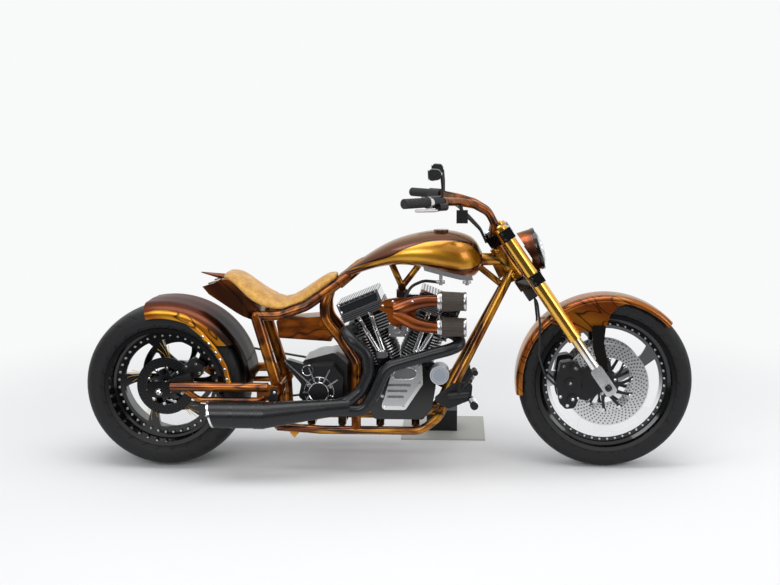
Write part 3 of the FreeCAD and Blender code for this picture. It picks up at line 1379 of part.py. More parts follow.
def main():
    os.makedirs("parts", exist_ok=True)
    nodes, origin = centred(build())
    print("Origin on the drawing", round(origin.x, 3), round(origin.y, 3), round(origin.z, 3))
    for name, shape in nodes.items():
        shape.exportStep(os.path.join("parts", name + ".step"))
        print(name, len(shape.Solids), round(shape.Volume / 1000.0), shape.isValid())


if __name__ == "__main__":
    main()
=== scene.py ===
import json
import math

import bmesh
import bpy
from mathutils import Matrix, Vector


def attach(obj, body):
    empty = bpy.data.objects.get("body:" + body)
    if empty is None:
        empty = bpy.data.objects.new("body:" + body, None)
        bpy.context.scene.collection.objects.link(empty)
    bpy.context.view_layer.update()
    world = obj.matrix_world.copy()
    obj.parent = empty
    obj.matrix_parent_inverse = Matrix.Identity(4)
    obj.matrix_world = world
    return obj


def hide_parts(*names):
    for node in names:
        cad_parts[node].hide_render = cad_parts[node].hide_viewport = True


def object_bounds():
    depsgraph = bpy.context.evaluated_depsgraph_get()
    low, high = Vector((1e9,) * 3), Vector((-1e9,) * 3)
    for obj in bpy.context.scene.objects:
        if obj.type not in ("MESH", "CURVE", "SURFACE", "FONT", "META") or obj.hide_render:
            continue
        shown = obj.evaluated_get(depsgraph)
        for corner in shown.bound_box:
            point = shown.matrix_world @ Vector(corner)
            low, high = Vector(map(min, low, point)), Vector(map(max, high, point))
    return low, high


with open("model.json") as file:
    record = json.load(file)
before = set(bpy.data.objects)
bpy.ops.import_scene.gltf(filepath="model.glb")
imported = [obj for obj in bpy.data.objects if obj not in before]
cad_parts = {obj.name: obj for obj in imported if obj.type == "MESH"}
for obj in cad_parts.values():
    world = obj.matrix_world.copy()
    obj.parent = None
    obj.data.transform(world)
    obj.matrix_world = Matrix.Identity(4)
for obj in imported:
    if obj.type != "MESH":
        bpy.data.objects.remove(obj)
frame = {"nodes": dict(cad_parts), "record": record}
nodes = frame["nodes"]
cad_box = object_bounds()
scene = bpy.context.scene

# The machine's own axes
# It leans on its side stand, so every piece is drawn upright, in metres, with its origin on the
# ground line below the rear axle, and `stance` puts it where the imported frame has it.
FRONT_AXLE = (1.780, 0.348)
REAR_AXLE = (0.0, 0.332)
joints = {joint["name"]: joint for joint in frame["record"]["behaviour"]["joints"]}
rear_axle = Vector(joints["rear_wheel_spin"]["pos_m"])
sideways = Vector(joints["rear_wheel_spin"]["axis"]).normalized()
forward = Vector((1, 0, 0))
upward = forward.cross(sideways)
ground = rear_axle - upward * REAR_AXLE[1]
stance = Matrix((forward, sideways, upward)).transposed().to_4x4()
stance.translation = ground

# The photograph's camera
# A standing photographer, four and a half metres off the right side and a little ahead of the
# rear axle, who looks slightly down from eye level.
CAMERA_FROM_AXLE = Vector((1.1743, -4.4151, 1.2343))
CAMERA_YAW = 0.0594
CAMERA_PITCH = 0.1915
CAMERA_ROLL = 0.0071
camera_data = bpy.data.cameras.new("camera")
camera_data.sensor_width = 36.0
camera_data.lens = 51.39
camera = bpy.data.objects.new("camera", camera_data)
scene.collection.objects.link(camera)
camera.matrix_world = (Matrix.Translation(rear_axle + CAMERA_FROM_AXLE)
                       @ Matrix.Rotation(CAMERA_YAW, 4, "Z")
                       @ Matrix.Rotation(math.pi / 2 - CAMERA_PITCH, 4, "X")
                       @ Matrix.Rotation(-CAMERA_ROLL, 4, "Z"))
scene.camera = camera

# The studio
# A pale floor that fades into a white surround, and three soft boxes. Metal mirrors the same
# white surround, which is dimmer on the side of the photographer, as in a real studio.
scene.view_settings.view_transform = "Standard"
FLOOR_GAP = 0.0004
FLOOR_HALF = 30.0
STUDIO_WHITE = (0.945, 0.948, 0.952)
BEHIND_CAMERA = (0.10, 0.10, 0.105)


def feed(socket, value):
    """Links a socket to what feeds it, or sets its plain value."""
    if isinstance(value, Field):
        value = value.socket
    if isinstance(value, bpy.types.NodeSocket):
        socket.id_data.links.new(value, socket)
    elif socket.type == "RGBA":
        socket.default_value = (*value, 1)
    else:
        socket.default_value = value


def feed_all(node, values):
    """Feeds a node's inputs by name or number."""
    for label, value in values.items():
        feed(node.inputs[label], value)


def add(tree, kind, values=None, **settings):
    """A new node with its settings and its inputs."""
    node = tree.nodes.new(kind)
    for label, value in settings.items():
        setattr(node, label, value)
    feed_all(node, values or {})
    return node


class Field:
    """An output socket to reckon with: each step adds a Math node to its tree."""

    def __init__(self, socket):
        self.socket = socket
        self.tree = socket.id_data

    def math(self, operation, *others):
        node = add(self.tree, "ShaderNodeMath", dict(enumerate((self, *others))), operation=operation)
        return Field(node.outputs[0])

    def __add__(self, other):
        return self.math("ADD", other)

    def __sub__(self, other):
        return self.math("SUBTRACT", other)

    def __rsub__(self, other):
        return self.math("MULTIPLY_ADD", -1.0, other)

    def __mul__(self, other):
        return self.math("MULTIPLY", other)

    def __truediv__(self, other):
        return self.math("DIVIDE", other)

    def __pow__(self, other):
        return self.math("POWER", other)

    def __abs__(self):
        return self.math("ABSOLUTE")


def rise(value, low, high):
    """A smooth step from 0 at `low` to 1 at `high`; `low` may be the larger."""
    turned = float(low > high)
    node = add(value.tree, "ShaderNodeMapRange",
               {"Value": value, "From Min": min(low, high), "From Max": max(low, high),
                "To Min": turned, "To Max": 1.0 - turned}, interpolation_type="SMOOTHSTEP")
    return Field(node.outputs["Result"])


def past(value, place, soft):
    """1 where a value is past a place, with a soft edge this far to each side."""
    return rise(value, place - soft, place + soft)


def short_of(value, place, soft):
    return rise(value, place + soft, place - soft)


def either(first, *others):
    """The stronger of some masks."""
    for mask in others:
        first = first.math("MAXIMUM", mask)
    return first


def fields(sockets):
    return {socket.name: Field(socket) for socket in sockets}


def mesh_piece(name, points, faces, material=None, smooth=True, place=stance):
    """A mesh drawn in metres and put in its place, with its object at the origin."""
    mesh = bpy.data.meshes.new(name)
    mesh.from_pydata([tuple(place @ Vector(point)) for point in points], [], faces)
    mesh.validate()
    if smooth:
        mesh.polygons.foreach_set("use_smooth", [True] * len(mesh.polygons))
    if material:
        mesh.materials.append(material)
    piece = bpy.data.objects.new(name, mesh)
    scene.collection.objects.link(piece)
    return piece


def new_material(name):
    """A material with an empty node tree but for its Principled shader and output."""
    material = bpy.data.materials.new(name)
    material.use_nodes = True
    return material, material.node_tree, material.node_tree.nodes["Principled BSDF"]


def end_with(tree, output, first, *layers):
    """Joins shaders, each laid over what comes before it by its mask, and ends the tree."""
    for share, shader in layers:
        first = add(tree, "ShaderNodeMixShader",
                    {"Fac": share, 1: first.outputs[0], 2: shader.outputs[0]})
    feed(tree.nodes[output].inputs["Surface"], first.outputs[0])


floor_material, tree, shader = new_material("studio_floor")
spot = add(tree, "ShaderNodeTexCoord").outputs["Object"]
haze = add(tree, "ShaderNodeTexNoise", {"Scale": 0.8, "Vector": spot})
haze = add(tree, "ShaderNodeMapRange", {"Value": haze.outputs["Fac"], "To Min": 0.84, "To Max": 0.87})
feed_all(shader, {"Base Color": haze.outputs["Result"], "Roughness": 0.8})
from_middle = Field(add(tree, "ShaderNodeVectorMath", {0: spot}, operation="LENGTH").outputs["Value"])
side_of_camera = Field(add(tree, "ShaderNodeSeparateXYZ", {"Vector": spot}).outputs["Y"])
rays = fields(add(tree, "ShaderNodeLightPath").outputs)
seen = either(rays["Is Camera Ray"], rays["Is Transmission Ray"], rays["Is Glossy Ray"])
end_with(tree, "Material Output", shader,
         (seen * rise(from_middle, 1.0, 3.0), add(tree, "ShaderNodeEmission", {"Color": STUDIO_WHITE})),
         (rise(side_of_camera, -1.3, -2.4) * rays["Is Glossy Ray"],
          add(tree, "ShaderNodeEmission", {"Color": BEHIND_CAMERA})))
floor_level = cad_box[0][2] - FLOOR_GAP
floor_corners = [(x * FLOOR_HALF, y * FLOOR_HALF, floor_level)
                 for x, y in ((-1, -1), (1, -1), (1, 1), (-1, 1))]
mesh_piece("studio_floor", floor_corners, [(0, 1, 2, 3)], floor_material, place=Matrix.Identity(4))

world = bpy.data.worlds.new("studio")
scene.world = world
world.use_nodes = True
tree = world.node_tree
ambient = tree.nodes["Background"]
feed_all(ambient, {"Color": (0.95, 0.97, 1.0), "Strength": 0.6})
heading = add(tree, "ShaderNodeTexCoord").outputs["Generated"]
heading = fields(add(tree, "ShaderNodeSeparateXYZ", {"Vector": heading}).outputs)
dark_side = rise(heading["Y"], -0.10, -0.55) * rise(heading["Z"], 0.55, 0.35)
mirrored = add(tree, "ShaderNodeBackground", {"Color": STUDIO_WHITE, "Strength": 1.0 - dark_side * 0.88})
rays = fields(add(tree, "ShaderNodeLightPath").outputs)
end_with(tree, "World Output", ambient, (rays["Is Glossy Ray"], mirrored),
         (either(rays["Is Camera Ray"], rays["Is Transmission Ray"]),
          add(tree, "ShaderNodeBackground", {"Color": STUDIO_WHITE})))


def soft_box(name, place, aim, size, power):
    lamp = bpy.data.lights.new(name, "AREA")
    lamp.shape = "RECTANGLE"
    lamp.size, lamp.size_y = size
    lamp.energy = power
    box = bpy.data.objects.new(name, lamp)
    scene.collection.objects.link(box)
    heading = Vector(aim) - Vector(place)
    box.matrix_world = Matrix.Translation(place) @ heading.to_track_quat("-Z", "Y").to_matrix().to_4x4()


soft_box("overhead_box", (0.1, -0.4, 3.4), (0, 0, 0), (4.2, 1.6), 62)
soft_box("camera_side_box", (-1.4, -4.2, 2.4), (0.1, 0, 0.5), (2.2, 1.6), 52)
soft_box("front_box", (3.6, -2.2, 1.8), (0.4, 0, 0.5), (1.6, 1.6), 34)

# The painted frame
# Welded steel tube in amber and copper candy lacquer, with brown streaks that run along each
# tube as a painter's flames do. The lacquer is clear and deep over a metal flake.
INK = (0.007, 0.0022, 0.0010)
UMBER = (0.050, 0.011, 0.003)
COPPER = (0.24, 0.048, 0.004)
RUSSET = (0.14, 0.028, 0.003)
AMBER = (0.45, 0.145, 0.008)
GOLD = (0.60, 0.27, 0.018)
GRAZING_SHINE = (1.0, 0.70, 0.40)


def new_group(name, inputs, outputs, kind="ShaderNodeTree"):
    """An empty node group, with the fields that it is given and the sockets that it fills."""
    group = bpy.data.node_groups.new(name, kind)
    for label, socket_kind, *value in inputs:
        socket = group.interface.new_socket(label, in_out="INPUT", socket_type="NodeSocket" + socket_kind)
        if value:
            socket.default_value = value[0]
    for label, socket_kind in outputs:
        group.interface.new_socket(label, in_out="OUTPUT", socket_type="NodeSocket" + socket_kind)
    given = fields(group.nodes.new("NodeGroupInput").outputs)
    return group, given, group.nodes.new("NodeGroupOutput").inputs


def use_group(tree, group, **values):
    """The output fields of a group placed in a tree with its inputs fed."""
    values = {label.replace("_", " "): value for label, value in values.items()}
    return fields(add(tree, "ShaderNodeGroup", values, node_tree=group).outputs)


machine_place, given, filled = new_group(
    "machine_place", [("Object", "Vector")],
    [("Along", "Float"), ("Across", "Float"), ("Height", "Float"), ("Vector", "Vector")])
moved = add(machine_place, "ShaderNodeVectorMath", {0: given["Object"], 1: ground}, operation="SUBTRACT")
joined = add(machine_place, "ShaderNodeCombineXYZ")
for axis, label, letter in ((forward, "Along", "X"), (sideways, "Across", "Y"), (upward, "Height", "Z")):
    dot = add(machine_place, "ShaderNodeVectorMath", {0: moved.outputs["Vector"], 1: axis},
              operation="DOT_PRODUCT")
    feed(filled[label], dot.outputs["Value"])
    feed(joined.inputs[letter], dot.outputs["Value"])
feed(filled["Vector"], joined.outputs["Vector"])


class Finish:
    """A material in the making, with the machine's own coordinates of a shaded point."""

    def __init__(self, name):
        self.material, self.tree, self.shader = new_material(name)
        self.point = add(self.tree, "ShaderNodeTexCoord").outputs
        place = use_group(self.tree, machine_place, Object=self.point["Object"])
        self.along = place["Along"]
        self.across = place["Across"]
        self.height = place["Height"]
        self.vector = place["Vector"]

    def set(self, values):
        feed_all(self.shader, values)

    def relief(self, height, strength, distance):
        bump = add(self.tree, "ShaderNodeBump",
                   {"Height": height, "Strength": strength, "Distance": distance})
        self.set({"Normal": bump.outputs["Normal"]})

    def away_from(self, centre):
        """The distance in side view from a point of the machine."""
        return distance(self.along - centre[0], self.height - centre[1])


def distance(first, second):
    return (first ** 2.0 + second ** 2.0).math("SQRT")


def noise(vector, scale, detail=2.0, roughness=0.5, distortion=0.0):
    node = add(vector.tree, "ShaderNodeTexNoise", {"Vector": vector, "Scale": scale, "Detail": detail,
                                                   "Roughness": roughness, "Distortion": distortion})
    return Field(node.outputs["Fac"])


def stretched(vector, scale=(1, 1, 1), slope_deg=0.0, shift=0.0):
    """A pattern's coordinates, turned in side view so that X follows a slope, then stretched."""
    turn = add(vector.tree, "ShaderNodeVectorRotate", {"Vector": vector, "Angle": math.radians(slope_deg)},
               rotation_type="Y_AXIS")
    node = add(vector.tree, "ShaderNodeMapping", {"Vector": turn.outputs["Vector"], "Scale": scale,
                                                  "Location": (shift, 0, 0)})
    return Field(node.outputs["Vector"])


def mixed(share, first, second, kind="RGBA"):
    """Two colours, or two places, mixed by a mask."""
    node = add(share.tree, "ShaderNodeMix", {"Factor": share, "A": first, "B": second}, data_type=kind)
    return Field(node.outputs["Result"])


flames, given, filled = new_group(
    "flamed_lacquer",
    [("Vector", "Vector"), ("Scale", "Float", 5.0), ("Bands", "Float", 4.0), ("Width", "Float", 0.3)],
    [("Streak", "Float"), ("Tone", "Float")])
swirl = noise(given["Vector"], given["Scale"], 1.0, 0.4, 0.6)
wave = (swirl * given["Bands"]).math("PINGPONG", 0.5) * 2.0
streak = add(flames, "ShaderNodeMapRange", {"Value": wave, "From Max": given["Width"], "To Min": 1.0,
                                            "To Max": 0.0}, interpolation_type="SMOOTHSTEP")
feed(filled["Streak"], streak.outputs["Result"])
feed(filled["Tone"], wave)


def candy(finish, colour, edge=GRAZING_SHINE, clear=0.5):
    """Clear lacquer over metal flake, with the tint of its grazing shine."""
    flake = noise(finish.vector, 900.0, 1.0)
    finish.relief(noise(finish.vector, 220.0, 1.0), 0.02, 0.0005)
    finish.set({"Base Color": colour, "Roughness": flake * 0.16 + 0.24, "Metallic": 0.8,
                "Specular Tint": edge, "Coat Weight": clear, "Coat Roughness": 0.03})
    return finish.material


def streaked(name, light, deep, scale, bands, width, stretch=(1, 1, 1), slope=0.0, strength=0.8, bend=None):
    """Streaked lacquer between a light and a deep colour.

    The streaks follow a slope in side view, and another one ahead of the bend (along, slope).
    """
    finish = Finish(name)
    vector = stretched(finish.vector, stretch, slope)
    if bend:
        sloped = stretched(finish.vector, stretch, bend[1])
        vector = mixed(past(finish.along, bend[0], 0.004), vector, sloped, "VECTOR")
    pattern = use_group(finish.tree, flames, Vector=vector, Scale=scale, Bands=bands, Width=width)
    colour = mixed(rise(noise(vector, scale * 1.8, 3.0), 0.38, 0.66), deep, light)
    return candy(finish, mixed(pattern["Streak"] * strength, colour, INK))


def paint(name, material):
    """Gives a carried-over CAD node its finish."""
    slots = nodes[name].material_slots
    for slot in slots:
        slot.material = material
    if not slots:
        nodes[name].data.materials.append(material)


paint("frame_cradle", streaked("lower_frame_lacquer", GOLD, RUSSET, 12.0, 4.6, 0.46, (0.26, 1.2, 1.5),
                               0.0, 0.95, (1.135, 66.0)))
paint("swingarm", streaked("swingarm_lacquer", AMBER, RUSSET, 12.0, 4.4, 0.46, (0.26, 1.2, 1.5), 0.0, 0.9))
paint("frame_spine", streaked("neck_lacquer", GOLD, RUSSET, 11.0, 4.2, 0.44, (0.4, 1.2, 1.3), -40.0, 0.9))
paint("frame_rear", streaked("rear_frame_lacquer", AMBER, RUSSET, 12.0, 4.2, 0.40, (0.7, 1.0, 0.5)))
paint("handlebar", streaked("bar_lacquer", (0.36, 0.090, 0.006), UMBER, 10.0, 4.0, 0.34, (0.5, 0.8, 1.2),
                            -35.0, 0.9))

# The fenders
# Pressed and shaped steel, brown over the crown with curved flames below, black inside.
# The two bent struts that carry the rear one wear the same lacquer.
FENDER_BLACK = (0.010, 0.010, 0.011)
DARK_BROWN = (0.012, 0.005, 0.0035)
FORK_BRACKET_REACH = 0.210
FENDER_HALF_WIDTH = 0.074


def fender_paint(name, axle, crown_radius, light, seed, dark_from, bands, line_width):
    """Brown over the crown, flames with dark outlines below, black on the inner face."""
    finish = Finish(name)
    vector = stretched(finish.vector, (0.45, 0.7, 1.5), -32.0, seed)
    pattern = use_group(finish.tree, flames, Vector=vector, Scale=8.0, Bands=bands, Width=line_width)
    fill = use_group(finish.tree, flames, Vector=vector, Scale=3.6, Bands=3.0, Width=0.9)
    wavy = finish.away_from(axle) + (noise(vector, 5.0) - 0.5) * 0.06
    crown = past(wavy, crown_radius, 0.003)
    brown = mixed(noise(vector, 4.0), (0.085, 0.019, 0.007), (0.14, 0.040, 0.016))
    brown = mixed(rise(abs(finish.along - axle[0]), dark_from, dark_from + 0.09), brown, DARK_BROWN)
    colour = mixed(crown, mixed(fill["Tone"], COPPER, light), brown)
    colour = mixed(pattern["Streak"] * (crown * -0.75 + 0.9), colour, INK)
    centre = stance @ Vector((axle[0], 0, axle[1]))
    outward = add(finish.tree, "ShaderNodeVectorMath", {0: finish.point["Object"], 1: centre},
                  operation="SUBTRACT").outputs["Vector"]
    facing = add(finish.tree, "ShaderNodeVectorMath", {0: outward, 1: finish.point["Normal"]},
                 operation="DOT_PRODUCT").outputs["Value"]
    return finish, mixed(Field(facing).math("LESS_THAN", -0.05), colour, FENDER_BLACK)


finish, colour = fender_paint("rear_fender_lacquer", REAR_AXLE, 0.322, GOLD, 0.0, 0.16, 4.4, 0.20)
paint("rear_fender", candy(finish, colour, (0.30, 0.17, 0.12), 0.2))
finish, colour = fender_paint("front_fender_lacquer", FRONT_AXLE, 0.358, AMBER, 3.0, 0.5, 7.0, 0.26)
bracket = either(short_of(finish.away_from(FRONT_AXLE), FORK_BRACKET_REACH, 0.001),
                 past(abs(finish.across), FENDER_HALF_WIDTH, 0.0005))
paint("front_fender", candy(finish, mixed(bracket, colour, FENDER_BLACK)))

# The tank and the other painted body pieces
# The tank is brown over its back, with a gold metallic panel on each side inside a thin dark
# line, and a copper lower edge. The panel is bare of any lettering.
PANEL_TOP = [(0.74, 0.800), (0.82, 0.833), (0.905, 0.860), (1.00, 0.905), (1.10, 0.928),
             (1.20, 0.922), (1.262, 0.880), (1.275, 0.845)]
PANEL_FOOT = [(0.74, 0.800), (0.83, 0.824), (0.92, 0.836), (1.00, 0.840), (1.10, 0.834),
              (1.20, 0.818), (1.262, 0.828), (1.275, 0.845)]
PANEL_FROM_MIDDLE = 0.025


def line_through(along, points, bottom=0.79, top=0.94):
    """The height of a smooth line through the given (along, height) points, in metres."""
    low, high = points[0][0], points[-1][0]
    share = add(along.tree, "ShaderNodeMapRange", {"Value": along, "From Min": low, "From Max": high})
    node = add(along.tree, "ShaderNodeFloatCurve", {"Value": share.outputs["Result"]})
    curve = node.mapping.curves[0]
    scaled = [((x - low) / (high - low), (z - bottom) / (top - bottom)) for x, z in points]
    curve.points[0].location = scaled[0]
    curve.points[1].location = scaled[-1]
    for point in scaled[1:-1]:
        curve.points.new(*point)
    node.mapping.update()
    return Field(node.outputs["Value"]) * (top - bottom) + bottom


finish = Finish("tank_lacquer")
below_top = line_through(finish.along, PANEL_TOP) - finish.height
above_foot = finish.height - line_through(finish.along, PANEL_FOOT)
depth = below_top.math("MINIMUM", above_foot)
beside = past(abs(finish.across), PANEL_FROM_MIDDLE, 0.001)
panel = past(depth, 0.0, 0.0005) * beside
outline = rise(depth, -0.007, -0.0055) * rise(depth, -0.0015, -0.003) * beside
vector = stretched(finish.vector, (0.5, 1.0, 1.1))
cloudy = rise(noise(vector, 7.0, 3.0, 0.6, 0.4), 0.35, 0.68)
gold = mixed(cloudy, (0.36, 0.130, 0.007), (0.68, 0.34, 0.025))
brown = mixed(rise(noise(vector, 4.0), 0.35, 0.65), (0.075, 0.018, 0.007), (0.13, 0.046, 0.022))
body = mixed(rise(above_foot, 0.0, -0.012), brown, (0.19, 0.036, 0.007))
body = mixed(rise(finish.along, 1.24, 1.30) * 0.75, body, (0.03, 0.011, 0.006))
paint("tank", candy(finish, mixed(outline * 0.85, mixed(panel, body, gold), INK)))
paint("tail_cowl", streaked("cowl_lacquer", (0.26, 0.060, 0.005), UMBER, 6.0, 3.6, 0.30, (0.3, 1.0, 1.6),
                            -38.0))
paint("oil_box", streaked("oil_box_lacquer", (0.42, 0.105, 0.007), RUSSET, 9.0, 3.4, 0.26, (0.6, 1, 1.5)))
paint("headlight", streaked("headlight_lacquer", (0.34, 0.070, 0.005), UMBER, 8.0, 3.6, 0.34, (0.5, 1, 1),
                            108.0))
paint("intake_manifold", streaked("intake_lacquer", (0.42, 0.100, 0.006), (0.13, 0.024, 0.003), 7.0, 3.4,
                                  0.30, (0.4, 1, 1.6)))

# The wheels
# Gloss black forged rims with a ring of bright studs on each side, chrome curved arms in front
# and black ones behind with gold pinstripes, and drilled brake rings on black carriers.
FULL_TURN = 2 * math.pi
FRONT_STUD_RING = 0.2385
REAR_STUD_RING = 0.203
FRONT_DISC_FACE = 0.0748
SPOKE_FACE = -0.0534
SPOKE_FOOT = 0.078

uneven, given, filled = new_group(
    "uneven_finish",
    [("Vector", "Vector"), ("Color", "Color"), ("Roughness", "Float", 0.3), ("Scale", "Float", 40.0),
     ("Amount", "Float", 0.15)],
    [("Color", "Color"), ("Roughness", "Float"), ("Height", "Float")])
speck = noise(given["Vector"], given["Scale"], 6.0)
swing = (speck - 0.5) * given["Amount"]
scaled = add(uneven, "ShaderNodeVectorMath", {0: given["Color"], "Scale": swing + 1.0}, operation="SCALE")
feed(filled["Color"], scaled.outputs["Vector"])
feed(filled["Roughness"], given["Roughness"] + swing)
feed(filled["Height"], speck)


def coated(name, colour, metallic, roughness, scale=40.0, amount=0.15, bump=0.0, coat=0.0, gloss=0.5):
    """An even coating or bare metal."""
    finish = Finish(name)
    look = use_group(finish.tree, uneven, Vector=finish.vector, Color=colour, Roughness=roughness,
                     Scale=scale, Amount=amount)
    finish.colour, finish.roughness, finish.speck = look["Color"], look["Roughness"], look["Height"]
    finish.set({"Base Color": finish.colour, "Roughness": finish.roughness, "Metallic": metallic,
                "Coat Weight": coat, "Coat Roughness": 0.04, "Specular IOR Level": gloss})
    if bump:
        finish.relief(finish.speck, bump, 0.0006)
    return finish


chrome = coated("chrome_plate", (0.80, 0.81, 0.82), 1.0, 0.07, 20, 0.05).material
bright_studs = coated("bright_studs", (0.93, 0.93, 0.94), 1.0, 0.34, 40, 0.05).material
gloss_black = coated("gloss_black", (0.003, 0.003, 0.0035), 0.0, 0.14, 25, 0.08, coat=0.5, gloss=0.3).material
satin_black = coated("satin_black", (0.008, 0.008, 0.009), 0.0, 0.42, 90, 0.25, 0.15, gloss=0.35).material
for name in ("front_rim", "rear_rim", "rear_pulley", "rear_axle", "rear_wheel_centre"):
    paint(name, gloss_black)
paint("front_wheel_centre", chrome)


def round_axle(finish, axle):
    """The radius and the angle of a shaded point about a wheel's axle."""
    angle = (finish.height - axle[1]).math("ARCTAN2", finish.along - axle[0])
    return finish.away_from(axle), angle


drilled, given, filled = new_group(
    "drilled_rows",
    [("Radius", "Float"), ("Angle", "Float"), ("First", "Float", 0.11), ("Pitch", "Float", 0.01),
     ("Rows", "Float", 5.0), ("Count", "Float", 40.0), ("Hole", "Float", 0.003)], [("Hole", "Float")])
steps = (given["Radius"] - given["First"]) / given["Pitch"]
row = steps.math("FLOOR")
row_radius = (row + 0.5) * given["Pitch"] + given["First"]
phase = given["Angle"] / FULL_TURN * given["Count"] + row * 0.38
arc = (phase.math("FRACT") - 0.5) * (row_radius * FULL_TURN) / given["Count"]
in_hole = distance(arc, given["Radius"] - row_radius).math("LESS_THAN", given["Hole"])
in_rows = steps.math("GREATER_THAN", 0.0) * steps.math("LESS_THAN", given["Rows"])
feed(filled["Hole"], in_hole * in_rows)


def brake_finish(name, axle, inner, outer, rows, count, ring_colour, carrier_colour, edge=0.003, hole=0.0030):
    """A machined and drilled ring on a coated carrier with bright edges."""
    finish = coated(name, ring_colour, 1.0, 0.3, 220, 0.2)
    radius, angle = round_axle(finish, axle)
    holes = use_group(finish.tree, drilled, Radius=radius, Angle=angle, First=inner + edge,
                      Pitch=(outer - inner - 2 * edge) / rows, Rows=rows, Count=count, Hole=hole)["Hole"]
    ring = past(radius, inner, 0.0008)
    colour = mixed(holes, mixed(ring, carrier_colour, finish.colour), (0.01, 0.01, 0.01))
    finish.set({"Base Color": colour, "Metallic": ring * (1.0 - holes)})
    return finish.material


paint("front_discs", brake_finish("front_brake_finish", FRONT_AXLE, 0.1102, 0.167, 5, 54,
                                  (0.76, 0.76, 0.77), (0.008, 0.008, 0.009)))
paint("rear_disc", brake_finish("rear_brake_finish", REAR_AXLE, 0.0779, 0.118, 3, 40,
                                (0.030, 0.030, 0.032), (0.006, 0.006, 0.007)))


def end_geometry(tree, parts, given, filled, stamp=None):
    """Joins parts, sets them at the points of `stamp` if there is one, and ends the tree."""
    whole = add(tree, "GeometryNodeJoinGeometry")
    for part in parts:
        feed(whole.inputs["Geometry"], part)
    geometry = whole.outputs["Geometry"]
    if stamp:
        copies = add(tree, "GeometryNodeInstanceOnPoints", {**stamp, "Instance": geometry})
        geometry = copies.outputs["Instances"]
    plain = add(tree, "GeometryNodeRealizeInstances", {"Geometry": geometry}).outputs["Geometry"]
    coat = add(tree, "GeometryNodeSetMaterial", {"Geometry": plain, "Material": given["Finish"]})
    feed(filled["Geometry"], coat.outputs["Geometry"])


fasteners, given, filled = new_group(
    "fasteners",
    [("Geometry", "Geometry"), ("Head Radius", "Float", 0.004), ("Head Height", "Float", 0.004),
     ("Sides", "Int", 12), ("Washer Radius", "Float", 0.005), ("Finish", "Material")],
    [("Geometry", "Geometry")], "GeometryNodeTree")
half_height = given["Head Height"] * 0.5
cone = {"Vertices": given["Sides"], "Radius Bottom": given["Head Radius"], "Depth": half_height}
shank = add(fasteners, "GeometryNodeMeshCone", {**cone, "Radius Top": given["Head Radius"]})
crown = add(fasteners, "GeometryNodeMeshCone", {**cone, "Radius Top": given["Head Radius"] * 0.55})
lift = add(fasteners, "ShaderNodeCombineXYZ", {"Z": half_height}).outputs["Vector"]
crown = add(fasteners, "GeometryNodeTransform", {"Geometry": crown.outputs["Mesh"], "Translation": lift})
washer = add(fasteners, "GeometryNodeMeshCylinder",
             {"Vertices": 16, "Depth": 0.0012, "Radius": given["Washer Radius"]})
facing = add(fasteners, "GeometryNodeInputNamedAttribute", {"Name": "facing"}, data_type="FLOAT_VECTOR")
aim = add(fasteners, "FunctionNodeAlignRotationToVector", {"Vector": facing.outputs["Attribute"]})
end_geometry(fasteners, (shank.outputs["Mesh"], crown.outputs["Geometry"], washer.outputs["Mesh"]), given,
             filled, {"Points": given["Geometry"], "Rotation": aim.outputs["Rotation"]})


def plain_mesh(holder, name):
    """The evaluated shape of an object as a mesh of its own."""
    mesh = bpy.data.meshes.new_from_object(holder.evaluated_get(bpy.context.evaluated_depsgraph_get()))
    mesh.name = name
    return mesh


def fitted(piece, body):
    """Fixes a finished piece to a body of the frame."""
    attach(piece, body)
    return piece


def new_piece(name, mesh, body):
    """A piece with a mesh that is already in its place."""
    piece = bpy.data.objects.new(name, mesh)
    scene.collection.objects.link(piece)
    return fitted(piece, body)


def grown(name, start, tree, body, slot, **values):
    """What a Geometry Nodes tree makes of a mesh, as a plain piece."""
    modifier = start.modifiers.new(name, "NODES")
    modifier.node_group = tree
    identifiers = {item.name: item.identifier for item in tree.interface.items_tree if item.in_out == "INPUT"}
    for label, value in values.items():
        modifier[identifiers[label.replace("_", " ")]] = value
    mesh = plain_mesh(start, name)
    start.modifiers.remove(modifier)
    bpy.data.objects.remove(start)
    return new_piece(name, mesh, body)


def heads(name, spots, body, slot, material, radius, height, sides=6, washer=0.0):
    """Bolt heads at upright (point, facing) pairs in metres."""
    start = mesh_piece(name + "_points", [point for point, facing in spots], [], smooth=False)
    attribute = start.data.attributes.new("facing", "FLOAT_VECTOR", "POINT")
    for entry, (point, facing) in zip(attribute.data, spots):
        entry.vector = (stance.to_3x3() @ Vector(facing)).normalized()
    grown(name, start, fasteners, body, slot, Head_Radius=radius, Head_Height=height, Sides=sides,
          Washer_Radius=max(washer, radius * 0.9), Finish=material)


def on_circle(centre, radius, angle):
    return centre[0] + radius * math.cos(angle), centre[1] + radius * math.sin(angle)


def ring_of(centre, radius, count, phase_deg=0.0):
    """Evenly spaced places in side view, round a centre."""
    angles = [math.radians(phase_deg + 360 * index / count) for index in range(count)]
    return [on_circle(centre, radius, angle) for angle in angles]


def facing_out(places, y, side):
    """Spots at places in side view, which face out on one side of the machine."""
    return [((x, y, z), (0, side, 0)) for x, z in places]


